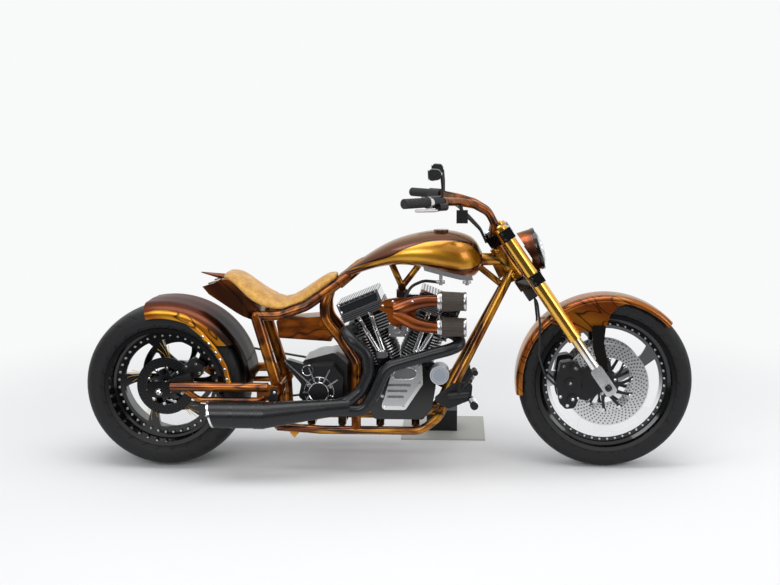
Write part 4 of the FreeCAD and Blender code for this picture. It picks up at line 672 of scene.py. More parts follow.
for wheel, axle, radius, faces, count, size, height in (
        ("front", FRONT_AXLE, FRONT_STUD_RING, (-0.0183, 0.0018), 48, 0.0050, 0.0046),
        ("rear", REAR_AXLE, REAR_STUD_RING, (-0.0583, -0.0342), 40, 0.0058, 0.0056)):
    ring = ring_of(axle, radius, count, 180 / count)
    heads(f"{wheel}_rim_studs", facing_out(ring, faces[0], -1) + facing_out(ring, faces[1], 1),
          f"{wheel}_wheel", "chrome", bright_studs, size, height, 12)
disc_bolts = []
for side in (-1, 1):
    disc_bolts += facing_out(ring_of(FRONT_AXLE, 0.104, 10, 12.0), side * FRONT_DISC_FACE, side)
    disc_bolts += facing_out(ring_of(FRONT_AXLE, 0.040, 5, 30.0), side * FRONT_DISC_FACE, side)
heads("front_disc_bolts", disc_bolts, "front_wheel", "chrome", chrome, 0.0050, 0.004, 12, 0.0066)
heads("rear_disc_bolts", facing_out(ring_of(REAR_AXLE, 0.074, 10, 12.0), -0.0988, -1), "rear_wheel", "chrome",
      chrome, 0.0046, 0.004, 12, 0.006)


def wires(name, paths, radius, body, material, sides):
    """Thin smooth lines through upright points in metres, as one plain mesh."""
    curve = bpy.data.curves.new(name, "CURVE")
    curve.dimensions = "3D"
    curve.bevel_depth = radius
    curve.bevel_resolution = sides
    curve.resolution_u = 8
    curve.use_fill_caps = True
    for path in paths:
        spline = curve.splines.new("NURBS")
        spline.points.add(len(path) - 1)
        for point, place in zip(spline.points, path):
            point.co = (*(stance @ Vector(place)), 1)
        spline.order_u = min(4, len(path))
        spline.use_endpoint_u = True
    holder = bpy.data.objects.new(name, curve)
    scene.collection.objects.link(holder)
    mesh = plain_mesh(holder, name)
    bpy.data.objects.remove(holder)
    mesh.materials.clear()
    mesh.materials.append(material)
    new_piece(name, mesh, body)


# Branching gold pinstripes follow the rear wheel's black arms.
stripes = []
for arm in range(5):
    for swing, lead, reach in ((-4, 0.0, 0.178), (3, 2.1, 0.172), (9, 4.55, 0.150), (-9, -3.15, 0.160)):
        path = []
        for share in (0.0, 0.25, 0.5, 0.75, 1.0):
            angle = math.radians(10 + 72 * arm + 15 * share + swing * share * share + lead * (1 - share))
            x, z = on_circle(REAR_AXLE, SPOKE_FOOT + (reach - SPOKE_FOOT) * share, angle)
            path.append((x, SPOKE_FACE, z))
        stripes.append(path)
gold_line = coated("gold_pinstripe", (0.72, 0.42, 0.05), 0.3, 0.35, 80, 0.1).material
wires("rear_wheel_pinstripes", stripes, 0.0010, "rear_wheel", gold_line, 1)

# The tyres
# Black road rubber: curved grooves run from beside the centre into the shoulders, and the
# side wall is smoother and a little lighter, with raised rings above the bead.
RING_PITCH = 0.006
GROOVE_DEPTH = 0.003
tread, given, filled = new_group(
    "tyre_tread",
    [("Radius", "Float"), ("Angle", "Float"), ("Across", "Float"), ("Half Width", "Float", 0.06),
     ("Count", "Float", 34.0)],
    [("Groove", "Float"), ("Wall", "Float")])
shoulder = abs(given["Across"]) / given["Half Width"]
lead = shoulder ** 1.6 * 1.9 + given["Across"].math("SIGN") * 0.25
phase = given["Angle"] / FULL_TURN * given["Count"] + lead
groove = short_of(abs(phase.math("FRACT") - 0.5), 0.070, 0.015)
grooved = past(shoulder, 0.17, 0.03) * short_of(shoulder, 0.9725, 0.0225)
centre_groove = short_of(shoulder, 0.034, 0.006)
feed(filled["Groove"], either(groove * grooved, centre_groove))
feed(filled["Wall"], past(shoulder, 0.98, 0.02))


def tyre_finish(name, axle, half_width, count, bead_radius):
    finish = coated(name, (0.008, 0.008, 0.009), 0.0, 0.55, 260, 0.3, gloss=0.3)
    radius, angle = round_axle(finish, axle)
    pattern = use_group(finish.tree, tread, Radius=radius, Angle=angle, Across=finish.across, Count=count,
                        Half_Width=half_width)
    colour = mixed(pattern["Wall"], finish.colour, (0.010, 0.010, 0.011))
    # The grooves are painted darker than the rubber round them: painted shade in the grooves, over the relief
    # that cuts them.
    finish.set({"Base Color": mixed(pattern["Groove"], colour, (0.003, 0.003, 0.003))})
    rings = rise((radius - bead_radius).math("PINGPONG", RING_PITCH), 0.0, 0.0012)
    rings *= short_of(radius, bead_radius + 3 * RING_PITCH + 0.0005, 0.0005)
    finish.relief(finish.speck * 0.06 + rings * 0.2 - pattern["Groove"], 0.9, GROOVE_DEPTH)
    return finish.material


paint("front_tyre", tyre_finish("front_tyre_rubber", FRONT_AXLE, 0.060, 34, 0.281))
paint("rear_tyre", tyre_finish("rear_tyre_rubber", REAR_AXLE, 0.140, 26, 0.243))

# The engine
# A big V-twin: black cylinders with machined fin tips, rocker boxes with chrome frames round
# dark windows, chrome pushrod tubes on their lifter blocks, and a polished cam cover.
CRANK = (0.953, 0.289)
BANK_ANGLE = math.radians(22.5)
OIL_FILTER = (1.114, 0.394)
BARREL_FIN_RADIUS = 0.0745
BARREL_TOP = 0.2835
HEAD_FIN_REACH = 0.0828
ROCKER_FOOT = 0.396
ROCKER_WINDOW = (0.4015, 0.4335)
ROCKER_SLOTS = (0.4355, 0.4415)
ROCKER_LID = 0.4453
ROCKER_CORNER = 0.0795
COVER_FACE = -0.1302
COVER_SUNK = 0.1266
COVER_SLANT = (0.834, -0.552)
COVER_CORNER = (0.978, 0.250)
ROCKER_FACE = -0.0965
PUSHROD_Y = -0.0945


def up_the_bank(finish):
    """How far a point lies up a cylinder bank, and to the side of its axis; both banks mirror."""
    x = abs(finish.along - CRANK[0])
    z = finish.height - CRANK[1]
    up = x * math.sin(BANK_ANGLE) + z * math.cos(BANK_ANGLE)
    return up, abs(x * math.cos(BANK_ANGLE) - z * math.sin(BANK_ANGLE))


def within_band(value, low, high, soft=0.0004):
    return past(value, low, soft) * short_of(value, high, soft)


def two_tone(name, first, second, mask_maker, metal, rough, scale=60.0, amount=0.12, **coating):
    """Two finishes on one casting; mask_maker gives the share of the second."""
    finish = coated(name, first, metal[0], rough[0], scale, amount, **coating)
    share = mask_maker(finish)
    finish.set({"Base Color": mixed(share, finish.colour, second),
                "Roughness": share * (rough[1] - rough[0]) + finish.roughness})
    if metal[0] != metal[1]:
        finish.set({"Metallic": share * (metal[1] - metal[0]) + metal[0]})
    return finish.material


def fin_tips(finish):
    up, across = up_the_bank(finish)
    barrel = past(distance(across, finish.across), BARREL_FIN_RADIUS, 0.0003)
    barrel *= short_of(up, BARREL_TOP, 0.0005)
    head = past(either(across, abs(finish.across)), HEAD_FIN_REACH, 0.0002)
    return either(barrel, head) * past(across, 0.030, 0.003)


def rocker_shade(finish):
    """Dark in the sunk window, the slots above it, the foot and the louvres on top."""
    up, across = up_the_bank(finish)
    sunk = within_band(finish.across, -0.09375, 0.08575, 0.00075)
    outer = past(abs(finish.across), ROCKER_CORNER, 0.0005)
    window = within_band(up, *ROCKER_WINDOW) * short_of(across, ROCKER_CORNER, 0.0005) * outer
    slots = within_band(up, *ROCKER_SLOTS) * sunk
    foot = short_of(up, ROCKER_FOOT, 0.0005) * sunk
    louvres = past(up, ROCKER_LID, 0.0003) * past(across.math("PINGPONG", 0.0060), 0.0027, 0.0003)
    return either(window, slots, foot, louvres)


def cover_shade(finish):
    """Painted shade: darker where the cover is sunk, and partly so on the face behind its slanted edge, both
    places duller too.
    """
    slant = ((finish.along - COVER_CORNER[0]) * COVER_SLANT[0]
             + (finish.height - COVER_CORNER[1]) * COVER_SLANT[1])
    face = (short_of(slant, -0.01375, 0.00075) * past(finish.height, 0.26575, 0.00075)
            * past(finish.along, 0.88925, 0.00075))
    return either(short_of(abs(finish.across), COVER_SUNK, 0.0004), face * 0.42)


paint("cylinders", two_tone("finned_black", (0.006, 0.006, 0.007), (0.62, 0.62, 0.63), fin_tips,
                            (0.0, 1.0), (0.38, 0.28), gloss=0.35))
paint("rocker_boxes", two_tone("rocker_chrome", (0.62, 0.63, 0.64), (0.010, 0.011, 0.012), rocker_shade,
                               (1.0, 0.0), (0.12, 0.25)))
paint("cam_cover", two_tone("cam_cover_aluminium", (0.88, 0.88, 0.89), (0.24, 0.245, 0.25), cover_shade,
                            (1.0, 1.0), (0.20, 0.36), 30.0, 0.05, bump=0.01))
cast_silver = coated("cast_silver", (0.56, 0.56, 0.57), 1.0, 0.25, 90, 0.15, 0.1).material
paint("pushrod_tubes", chrome)
paint("crankcase", gloss_black)
paint("carburettor", cast_silver)
finish = coated("pale_filter_enamel", (0.34, 0.37, 0.42), 0.25, 0.3, 60, 0.06)
radius = finish.away_from(OIL_FILTER)
rim = either(within_band(radius, 0.0345, 0.0375), within_band(radius, 0.027, 0.0285))
finish.set({"Base Color": mixed(rim, finish.colour, (0.60, 0.62, 0.64))})
paint("oil_filter", finish.material)


def bank_spot(side, up, across):
    """A place in side view on one cylinder bank."""
    angle = BANK_ANGLE * side
    return (CRANK[0] + math.sin(angle) * up + math.cos(angle) * across,
            CRANK[1] + math.cos(angle) * up - math.sin(angle) * across)


loop = [(0.926, 0.382), (0.934, 0.424), (1.000, 0.426), (1.026, 0.412), (1.022, 0.380), (0.985, 0.374),
        (0.940, 0.374)]
wires("cam_cover_loop", [[(x, COVER_FACE - 0.0004, z) for x, z in loop + loop[:3]]], 0.0016, "chassis",
      chrome, 2)
cover_bolts = facing_out(((0.894, 0.262), (0.970, 0.262), (1.036, 0.360), (1.034, 0.430), (0.946, 0.431)),
                         COVER_FACE, -1)
cover_bolts += facing_out(((0.884, 0.300), (0.884, 0.380)), -0.106, -1)
heads("cam_cover_bolts", cover_bolts, "chassis", "chrome", chrome, 0.0048, 0.005, 6, 0.0062)
rocker_bolts = [bank_spot(side, up, across) for side in (-1, 1) for across in (-0.080, 0.080)
                for up in (0.4095, 0.4385)]
heads("rocker_box_bolts", facing_out(rocker_bolts, ROCKER_FACE, -1), "chassis", "chrome", chrome,
      0.0050, 0.005, 6, 0.0066)

# The pushrod tubes have a collar at each end and a clip ring in the middle, and each pair
# stands on a lifter block that four screws hold.
collars = []
lifter_screws = []
for side in (-1, 1):
    foot_x = CRANK[0] + side * 0.070
    for offset, across in ((-0.009, -0.026), (0.009, 0.026)):
        top_x, top_z = bank_spot(side, 0.372, across)
        low = Vector((foot_x + offset, PUSHROD_Y, 0.476))
        high = Vector((top_x, PUSHROD_Y, top_z))
        collars += [(tuple(low.lerp(high, share)), tuple(high - low)) for share in (0.04, 0.52, 0.86)]
    lifter_screws += [(foot_x + offset, z) for offset in (-0.017, 0.017) for z in (0.468, 0.484)]
heads("pushrod_collars", collars, "chassis", "chrome", chrome, 0.0108, 0.009, 20)
heads("lifter_screws", facing_out(lifter_screws, -0.1078, -1), "chassis", "black_satin", satin_black,
      0.0034, 0.004)
bowl_corners = [(x, z) for z in (0.600, 0.554) for x in (0.918, 0.978)]
heads("carburettor_screws", facing_out(bowl_corners, -0.1322, -1), "chassis", "chrome", chrome,
      0.0040, 0.004, 12, 0.0052)
heads("carburettor_bowl_cap", facing_out([(0.948, 0.578)], -0.1325, -1), "chassis", "chrome", cast_silver,
      0.016, 0.012, 24, 0.020)

# The air filters
# Two open cone filters: pleated, oiled gauze that tapers between a bright sleeve and a bright
# end cap.
POD_Y = -0.176
POD_START = 1.120
POD_LENGTH = 0.092
POD_RADIUS = 0.0405
POD_TAPER = 0.11
POD_HEIGHTS = (0.697, 0.596)
SLEEVE = [(-0.014, 0.0345), (-0.014, 0.0372), (-0.011, 0.0388), (-0.004, 0.0392), (-0.002, 0.0412),
          (0.001, 0.0412), (0.003, 0.0400), (0.003, 0.030), (-0.010, 0.030)]
CAP = [(-0.003, 0.032), (-0.003, 0.0372), (0.002, 0.0378), (0.006, 0.0372), (0.008, 0.0340), (0.008, 0.020),
       (0.0065, 0.018)]
ribs_round, given, filled = new_group(
    "ribs_round",
    [("Geometry", "Geometry"), ("Count", "Int", 52), ("Ring Radius", "Float", 0.04),
     ("Rib Radius", "Float", 0.0022), ("Length", "Float", 0.09), ("Finish", "Material")],
    [("Geometry", "Geometry")], "GeometryNodeTree")
ring = add(ribs_round, "GeometryNodeMeshCircle", {"Vertices": given["Count"], "Radius": given["Ring Radius"]})
rib = add(ribs_round, "GeometryNodeMeshCone", {
    "Vertices": 6, "Side Segments": 1, "Radius Bottom": given["Rib Radius"],
    "Radius Top": given["Rib Radius"] * 0.9, "Depth": given["Length"]})
copies = add(ribs_round, "GeometryNodeInstanceOnPoints",
             {"Points": ring.outputs["Mesh"], "Instance": rib.outputs["Mesh"]})
core = add(ribs_round, "GeometryNodeMeshCone", {
    "Vertices": 52, "Radius Bottom": given["Ring Radius"], "Radius Top": given["Ring Radius"],
    "Depth": given["Length"]})
end_geometry(ribs_round, (copies.outputs["Instances"], core.outputs["Mesh"]), given, filled)


def turned_shape(name, profile, centre, axis, body, material, segments=64, closed=False):
    """A profile of (along, radius) pairs turned about an axis through an upright point."""
    axis = Vector(axis).normalized()
    side = axis.orthogonal().normalized()
    other = axis.cross(side)
    points, faces = [], []
    for along, radius in profile:
        for index in range(segments):
            angle = FULL_TURN * index / segments
            points.append(Vector(centre) + axis * along
                          + (side * math.cos(angle) + other * math.sin(angle)) * radius)
    rows = len(profile)
    for row in range(rows if closed else rows - 1):
        low, high = row * segments, (row + 1) % rows * segments
        for index in range(segments):
            after = (index + 1) % segments
            faces.append((low + index, low + after, high + after, high + index))
    if not closed:
        faces.append(tuple(reversed(range(segments))))
        faces.append(tuple((rows - 1) * segments + index for index in range(segments)))
    piece = mesh_piece(name, points, faces, material)
    shape = bmesh.new()
    shape.from_mesh(piece.data)
    bmesh.ops.remove_doubles(shape, verts=shape.verts, dist=0.00002)
    bmesh.ops.recalc_face_normals(shape, faces=shape.faces)
    for edge in shape.edges:
        if len(edge.link_faces) == 2 and edge.calc_face_angle(0) > math.radians(35):
            edge.smooth = False
    shape.to_mesh(piece.data)
    shape.free()
    return fitted(piece, body)


gauze = coated("oiled_gauze", (0.085, 0.070, 0.058), 0.35, 0.5, 700, 0.7, 0.5).material
for number, height in enumerate(POD_HEIGHTS, 1):
    start = mesh_piece("gauze_start", [], [], smooth=False)
    pleats = grown(f"filter_pleats_{number}", start, ribs_round, "chassis", "filter_gauze", Count=38,
                   Ring_Radius=POD_RADIUS - 0.0030, Rib_Radius=0.0029, Length=POD_LENGTH, Finish=gauze)
    lay = stance @ Matrix.Translation((POD_START, POD_Y, height)) @ Matrix.Rotation(math.pi / 2, 4, "Y")
    for vertex in pleats.data.vertices:
        taper = 1.0 - POD_TAPER * vertex.co.z / POD_LENGTH
        vertex.co = lay @ Vector((vertex.co.x * taper, vertex.co.y * taper, vertex.co.z))
    turned_shape(f"filter_sleeve_{number}", SLEEVE, (POD_START, POD_Y, height), (1, 0, 0), "chassis",
                 cast_silver, 64, True)
    turned_shape(f"filter_cap_{number}", CAP, (POD_START + POD_LENGTH, POD_Y, height), (1, 0, 0), "chassis",
                 cast_silver)
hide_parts("air_filters")

# The gearbox, drive and exhaust
# Black webbed gearbox with bright machined edges and three chrome rings, and a charcoal
# ceramic exhaust whose muffler ends in a slanted polished tip.
GEARBOX_HUB = (0.631, 0.321)
GEARBOX_PLUG = (0.586, 0.408)
GEARBOX_FACE = -0.1285
WEB_FACE = -0.1333
MUFFLER_AXIS = (-0.245, 0.253)
MUFFLER_TIP = (0.201, 0.306)
TIP_SLANT = 0.2309
MUFFLER_LINES = ((0.300, 0.0536), (0.306, 0.0536), (0.389, 0.0553), (0.429, 0.0553))


def web_edges(finish):
    near = short_of(finish.across, WEB_FACE, 0.0003)
    return near * past(finish.away_from(GEARBOX_HUB), 0.04275, 0.00025)


def tip_shine(finish):
    slant = finish.height * TIP_SLANT + finish.along - (MUFFLER_TIP[0] + MUFFLER_TIP[1] * TIP_SLANT)
    return short_of(slant, 0.0085, 0.0005)


paint("gearbox", two_tone("gearbox_black", (0.006, 0.006, 0.007), (0.70, 0.70, 0.71), web_edges,
                          (0.0, 1.0), (0.3, 0.15), coat=0.4, gloss=0.4))
gearbox_bolts = [on_circle(GEARBOX_HUB, 0.050, angle) for angle in (0.4, 1.5, 2.6, 3.7, 4.8, 5.9)]
heads("gearbox_bolts", facing_out(gearbox_bolts, GEARBOX_FACE, -1), "chassis", "chrome", chrome,
      0.0045, 0.005, 6, 0.0058)
for name, centre, y, radius in (("gearbox_hub_ring", GEARBOX_HUB, -0.1402, 0.0400),
                                ("gearbox_rim_ring", GEARBOX_HUB, -0.1284, 0.0590),
                                ("gearbox_plug_ring", GEARBOX_PLUG, -0.1284, 0.0215)):
    profile = [(-0.001, -0.002), (0.0015, -0.002), (0.0026, -0.0005), (0.0026, 0.001), (0.0012, 0.002),
               (-0.001, 0.002)]
    turned_shape(name, [(along, radius + out) for along, out in profile], (centre[0], y, centre[1]),
                 (0, -1, 0), "chassis", chrome, 64, True)
paint("exhaust", two_tone("ceramic_exhaust", (0.009, 0.0095, 0.011), (0.80, 0.80, 0.81), tip_shine,
                          (0.1, 1.0), (0.30, 0.14), 120, 0.2, bump=0.08, gloss=0.4))
for number, (x, radius) in enumerate(MUFFLER_LINES, 1):
    profile = [(-0.0009, radius - 0.003), (-0.0009, radius), (0.0009, radius), (0.0009, radius - 0.003)]
    turned_shape(f"muffler_line_{number}", profile, (x, *MUFFLER_AXIS), (1, 0, 0), "chassis",
                 gloss_black, 72, True)

# The seat
# One solo pad in tan hide with raised quill marks, stuffed over a base pan. It swells from a
# slightly smaller shape until it fills its place on the frame.
SEAT_VOXEL = 0.0055
SEAT_SHRINK = 0.004
SEAT_CAP = 0.008
finish = Finish("seat_hide")
blotches = rise(noise(finish.vector, 24.0, 5.0, 0.62), 0.36, 0.66)
hide = mixed(blotches, (0.44, 0.205, 0.026), (0.64, 0.350, 0.060))
cells = add(finish.tree, "ShaderNodeTexVoronoi", {"Vector": finish.vector, "Scale": 105.0})
quills = rise(Field(cells.outputs["Distance"]), 0.34, 0.16)
creases = noise(finish.vector, 260.0, 4.0, 0.6)
finish.relief(quills * 0.7 + creases * 0.35, 0.7, 0.0012)
finish.set({"Base Color": mixed(quills * 0.5, hide, (0.30, 0.145, 0.035)),
            "Roughness": creases * 0.25 + 0.33, "Sheen Weight": 0.12})

seat = bpy.data.objects.new("seat_pad", nodes["seat"].data.copy())
scene.collection.objects.link(seat)
shape = bmesh.new()
shape.from_mesh(seat.data)
bmesh.ops.remove_doubles(shape, verts=shape.verts, dist=0.0001)
shape.normal_update()
for vertex in shape.verts:
    vertex.co -= vertex.normal * SEAT_SHRINK
shape.to_mesh(seat.data)
shape.free()


def apply_to_seat(kind, name, **settings):
    """Gives the pad the shape that a modifier makes of it."""
    modifier = seat.modifiers.new(name, kind)
    for label, value in settings.items():
        setattr(modifier, label, value)
    mesh = plain_mesh(seat, "seat_pad")
    seat.modifiers.remove(modifier)
    seat.data = mesh


apply_to_seat("REMESH", "even", mode="VOXEL", voxel_size=SEAT_VOXEL)
apply_to_seat("SMOOTH", "relax", factor=0.5, iterations=6)
mesh = seat.data
rest = [vertex.co.copy() for vertex in mesh.vertices]
under = [vertex.index for vertex in mesh.vertices if vertex.normal.dot(upward) < -0.25]
seat.vertex_groups.new(name="base_pan").add(under, 1.0, "REPLACE")
cloth = seat.modifiers.new("stuffing", "CLOTH")
cloth.settings.quality = 6
cloth.settings.mass = 0.25
cloth.settings.use_pressure = True
cloth.settings.uniform_pressure_force = 4.0
cloth.settings.effector_weights.gravity = 0.0
cloth.settings.vertex_group_mass = "base_pan"
cloth.collision_settings.use_collision = False
cloth.collision_settings.use_self_collision = False
for moment in range(1, 21):
    scene.frame_set(moment)
swollen = seat.evaluated_get(bpy.context.evaluated_depsgraph_get()).data
moves = [Vector(vertex.co) - start for vertex, start in zip(swollen.vertices, rest)]
seat.modifiers.remove(cloth)
scene.frame_set(1)
for vertex, start, move in zip(mesh.vertices, rest, moves):
    if move.length > SEAT_CAP:
        move = move * (SEAT_CAP / move.length)
    vertex.co = start + move
apply_to_seat("SUBSURF", "finer", levels=1, render_levels=1)
seat.vertex_groups.clear()
seat.data.polygons.foreach_set("use_smooth", [True] * len(seat.data.polygons))
seat.data.materials.clear()
seat.data.materials.append(finish.material)
fitted(seat, "chassis")
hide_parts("seat")

# The fork
# Gold anodised outer tubes in black clamps, polished inner legs that take a gold tint above,
# black calipers with chrome bolts, and the hose that feeds them.
RAKE = math.radians(34.4)
FORK_DOWN = Vector((math.sin(RAKE), 0, -math.cos(RAKE)))
FORK_AHEAD = Vector((math.cos(RAKE), 0, math.sin(RAKE)))
FORK_OFFSET = 0.052
LEG_Y = 0.110
TOP_CLAMP = 0.949
LOW_CLAMP = 0.776
CALIPER_BOLTS = ((-0.172, 0.078), (-0.122, 0.070), (-0.116, -0.052), (-0.156, -0.082), (-0.184, -0.046))


def fork_point(height, y, ahead=0.0, further=0.0):
    """A point beside the steering axis where a leg reaches this height, or further up it."""
    axle = Vector((FRONT_AXLE[0], y, FRONT_AXLE[1]))
    up = (height - FRONT_AXLE[1]) / math.cos(RAKE) + further
    return axle - FORK_DOWN * up + FORK_AHEAD * (ahead - FORK_OFFSET)


def on_side(name, x, z, side):
    """The spot and facing where a sideways line through (x, z) first meets a CAD node."""
    to_node = nodes[name].matrix_world.inverted()
    start = to_node @ (stance @ Vector((x, side * 0.7, z)))
    heading = to_node.to_3x3() @ (stance.to_3x3() @ Vector((0, -side, 0)))
    hit, spot, normal, index = nodes[name].ray_cast(start, heading)
    if not hit:
        raise ValueError(f"no surface of {name} at {x}, {z}")
    return tuple(stance.inverted() @ (nodes[name].matrix_world @ spot)), (0, side, 0)


def leg_tint(finish):
    return past(finish.away_from(FRONT_AXLE), 0.170, 0.045)


gold_tube = coated("gold_anodised", (0.80, 0.44, 0.08), 1.0, 0.18, 30, 0.1).material
rubber = coated("moulded_rubber", (0.010, 0.010, 0.011), 0.0, 0.62, 300, 0.2, 0.2).material
blue_chrome = coated("blued_chrome", (0.42, 0.62, 0.74), 1.0, 0.10, 40, 0.15).material
paint("fork_tubes", gold_tube)
paint("fork_legs", two_tone("polished_leg", (0.86, 0.86, 0.87), (0.76, 0.56, 0.28), leg_tint, (1.0, 1.0),
                            (0.26, 0.16), bump=0.03))
paint("triple_clamps", gloss_black)
paint("front_calipers", satin_black)
paint("rear_caliper", satin_black)
paint("brake_hose", rubber)
pinch_bolts = [(tuple(fork_point(height, side * 0.1434, FORK_OFFSET - 0.008, further)), (0, side, 0))
               for side in (-1, 1) for height in (TOP_CLAMP, LOW_CLAMP) for further in (-0.012, 0.012)]
heads("clamp_pinch_bolts", pinch_bolts, "fork", "black_satin", satin_black, 0.0055, 0.005, 6, 0.0072)
tube_caps = [(tuple(fork_point(TOP_CLAMP + 0.028, side * LEG_Y, FORK_OFFSET)), tuple(-FORK_DOWN))
             for side in (-1, 1)]
heads("fork_tube_caps", tube_caps, "fork", "gold_anodised", gold_tube, 0.0125, 0.012, 6, 0.0225)
stem_top = fork_point(TOP_CLAMP, 0, 0.0, 0.0325)
heads("stem_bolt", [(tuple(stem_top), tuple(-FORK_DOWN))], "fork", "chrome", blue_chrome,
      0.0150, 0.014, 6, 0.0205)
axle_nuts = [spot for side in (-1, 1) for spot in facing_out([FRONT_AXLE], side * (LEG_Y + 0.0275), side)]
heads("front_axle_nuts", axle_nuts, "fork", "black_satin", satin_black, 0.0105, 0.010, 6, 0.0140)
caliper_bolts = [(FRONT_AXLE[0] + x, FRONT_AXLE[1] + z) for x, z in CALIPER_BOLTS]
caliper_bolts += [on_circle(FRONT_AXLE, 0.146, math.radians(degrees)) for degrees in (150.0, 176.0, 202.0)]
heads("front_caliper_bolts", [on_side("front_calipers", x, z, side) for side in (-1, 1)
                              for x, z in caliper_bolts],
      "fork", "chrome", chrome, 0.0048, 0.004, 6, 0.0064)


def heads_on(name, node, places, sides_of_machine, radius, height, sides=6, washer=0.0):
    """Chrome heads on the outside of a CAD node that doesn't steer."""
    spots = [on_side(node, x, z, side) for side in sides_of_machine for x, z in places]
    heads(name, spots, "chassis", "chrome", chrome, radius, height, sides, washer)


heads_on("rear_caliper_bolts", "rear_caliper", ((0.092, 0.418), (0.132, 0.428), (0.146, 0.392)), (-1,),
         0.0048, 0.004, 6, 0.0064)

# The headlight
# A lacquered bucket with a black rim, a chrome reflector and a clear domed lens.
LAMP_TILT = math.radians(18.0)
LAMP_AXIS = Vector((math.cos(LAMP_TILT), 0, math.sin(LAMP_TILT)))
LAMP_FACE = fork_point(FRONT_AXLE[1], 0, 0.131, 0.6004)
lamp_glass, tree, shader = new_material("lamp_glass")
feed_all(shader, {"Base Color": (0.97, 0.98, 0.99), "Roughness": 0.04, "Transmission Weight": 0.95,
                  "IOR": 1.3})
paint("headlight_lens", lamp_glass)
turned_shape("headlight_reflector",
             [(0.0006, 0.079), (0.0014, 0.079), (0.0012, 0.030), (0.0050, 0.026), (0.0060, 0.008)],
             LAMP_FACE, LAMP_AXIS, "fork", chrome)
turned_shape("headlight_rim",
             [(-0.010, 0.0835), (-0.010, 0.0855), (-0.008, 0.0864), (0.0025, 0.0864), (0.0045, 0.0850),
              (0.0045, 0.0825), (-0.002, 0.0825)],
             LAMP_FACE, LAMP_AXIS, "fork", gloss_black, 72, True)

# The handlebar
# Ribbed rubber grips, black switch housings with polished levers, and mirrors with glass
# facing the rider. The sheathed cables run down into the stem.
BAR_TOP = fork_point(TOP_CLAMP, 0, 0.0, 0.023)
LEVER_START = 0.30675
GRIP_COLLAR = 0.086
GRIP_GROOVES = 16
GRIP_RADIUS = 0.0178
GRIP_RIB_RADIUS = 0.0188
MIRROR_BACK = [(-0.0508, 0.086), (-0.0525, 0.122)]
BOX_FACES = [(0, 1, 3, 2), (4, 6, 7, 5), (0, 2, 6, 4), (1, 5, 7, 3), (0, 4, 5, 1), (2, 3, 7, 6)]


def lever_part(finish):
    return past(abs(finish.across), LEVER_START, 0.00025)


paint("bar_controls", two_tone("switch_black", (0.008, 0.008, 0.009), (0.72, 0.72, 0.73), lever_part,
                               (0.0, 1.0), (0.36, 0.18), bump=0.05, gloss=0.35))
paint("mirrors", satin_black)
paint("bar_cables", rubber)
mirror_glass = coated("mirror_glass", (0.80, 0.82, 0.84), 1.0, 0.03, 12, 0.02).material
for side, hand in ((-1, "right"), (1, "left")):
    grip_start = BAR_TOP + Vector((-0.187, side * 0.240, 0.151))
    grip_end = BAR_TOP + Vector((-0.327, side * 0.400, 0.153))
    heading = (grip_end - grip_start).normalized()
    length = (grip_end - grip_start).length - GRIP_COLLAR
    profile = [(0.0, 0.0150), (0.0, 0.0205), (0.0015, 0.0218), (0.0040, 0.0218), (0.0055, 0.0200),
               (0.0080, GRIP_RADIUS)]
    for groove in range(GRIP_GROOVES):
        along = 0.010 + groove * (length - 0.020) / GRIP_GROOVES
        profile += [(along, GRIP_RADIUS), (along + 0.0008, GRIP_RIB_RADIUS),
                    (along + 0.0042, GRIP_RIB_RADIUS), (along + 0.0050, GRIP_RADIUS)]
    profile += [(length - 0.0085, 0.0180), (length - 0.0070, GRIP_RIB_RADIUS),
                (length - 0.0020, GRIP_RIB_RADIUS), (length, 0.0170), (length, 0.0060)]
    turned_shape(f"ribbed_grip_{hand}", profile, grip_start + heading * GRIP_COLLAR, heading,
                              "fork", rubber, 48)
    points = [(grip_start.x + x - deep, y, grip_start.z + z) for deep in (0.0012, -0.0006)
              for y in sorted((side * 0.268, side * 0.356)) for x, z in MIRROR_BACK]
    fitted(mesh_piece(f"mirror_glass_{hand}", points, BOX_FACES, mirror_glass, False), "fork")
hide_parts("grips")

# Rear frame fittings
# Chrome bolts along the fender's struts, pivot caps on the swingarm, nuts on the rear axle,
# and the bolts of the intake.
STRUT = [(0.168, 0.562), (0.222, 0.500), (0.262, 0.436), (0.282, 0.350)]
AXLE_NUT_LIFT = 0.001
strut_bolts = [(first[0] + (last[0] - first[0]) * share, first[1] + (last[1] - first[1]) * share)
               for first, last in zip(STRUT, STRUT[1:]) for share in (0.15, 0.6)]
heads_on("fender_strut_bolts", "rear_fender", strut_bolts, (-1, 1), 0.0048, 0.004, 12, 0.0066)
heads_on("swingarm_pivot_caps", "swingarm", [(0.463, 0.333)], (-1, 1), 0.0085, 0.008, 6, 0.0135)
axle_ends = [on_side("rear_axle", 0.014, REAR_AXLE[1] + 0.002, side) for side in (-1, 1)]
axle_ends = [((REAR_AXLE[0], spot[1] + facing[1] * AXLE_NUT_LIFT, REAR_AXLE[1]), facing)
             for spot, facing in axle_ends]
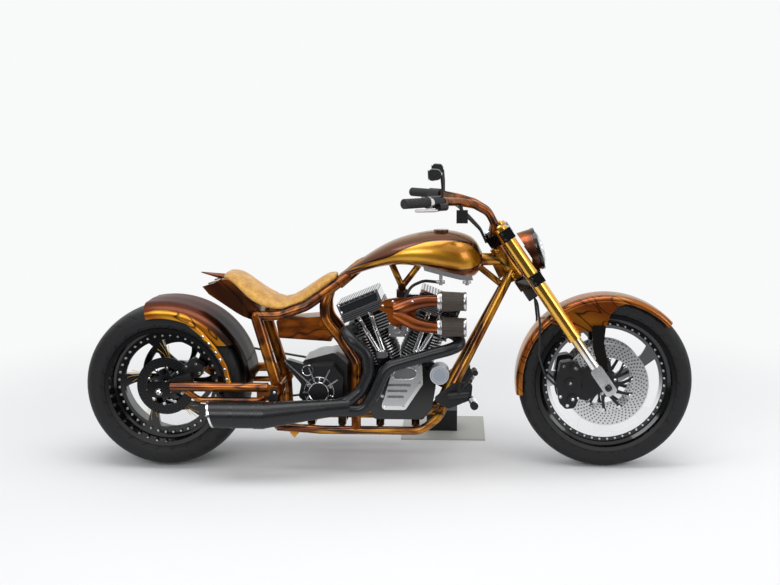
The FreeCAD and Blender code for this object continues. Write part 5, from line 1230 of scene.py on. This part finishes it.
heads("rear_axle_nuts", axle_ends, "chassis", "chrome", chrome, 0.0110, 0.008, 6, 0.0145)
heads_on("intake_bolts", "intake_manifold", ((0.893, 0.680), (0.932, 0.696), (1.010, 0.700)), (-1,),
         0.0050, 0.004, 6, 0.0066)

# The primary cover and belt on the left
# A gloss black casing over the clutch and crank drive, with screws round its edge and round
# its two caps. A rubber belt runs behind it to the rear pulley.
paint("primary_cover", gloss_black)
paint("drive_belt", rubber)
cover_screws = []
for centre, radius, count, first, last in ((GEARBOX_HUB, 0.112, 8, 95, 265), (CRANK, 0.088, 6, -85, 85)):
    angles = [math.radians(first + (last - first) * index / (count - 1)) for index in range(count)]
    cover_screws += [on_circle(centre, radius, angle) for angle in angles]
cover_screws += ring_of(GEARBOX_HUB, 0.062, 6, 30) + ring_of(CRANK, 0.041, 4, 30)
heads_on("primary_cover_screws", "primary_cover", cover_screws, (1,), 0.0042, 0.004, 6, 0.0056)

# Foot controls, stand and fuel taps
# Black forward controls with knurled chrome pegs, a black side stand, a grey steel plate under
# its block, and polished taps below the tank.
PEG_GROOVE = 0.0078
PEG_RADIUS = 0.0125
PEG_RIB_RADIUS = 0.0142
paint("forward_controls", satin_black)
paint("side_stand", satin_black)
paint("stand_block", rubber)
paint("fuel_hose", rubber)
paint("fuel_taps", coated("polished_strip", (0.88, 0.88, 0.89), 1.0, 0.26, 30, 0.06).material)
paint("stand_plate", coated("grey_plate", (0.42, 0.42, 0.39), 0.0, 0.5, 20, 0.08).material)
profile = [(0.0, 0.0095)]
for groove in range(9):
    along = groove * PEG_GROOVE
    profile += [(along, PEG_RADIUS), (along + 0.0012, PEG_RIB_RADIUS), (along + 0.0050, PEG_RIB_RADIUS),
                (along + 0.0062, PEG_RADIUS)]
profile += [(0.0700, 0.0095)]
for side, hand in ((-1, "right"), (1, "left")):
    turned_shape(f"foot_peg_sleeve_{hand}", profile, (1.2428, side * 0.200, 0.3069),
                 (0.012, side * 0.118, 0.002), "chassis", chrome, 32)
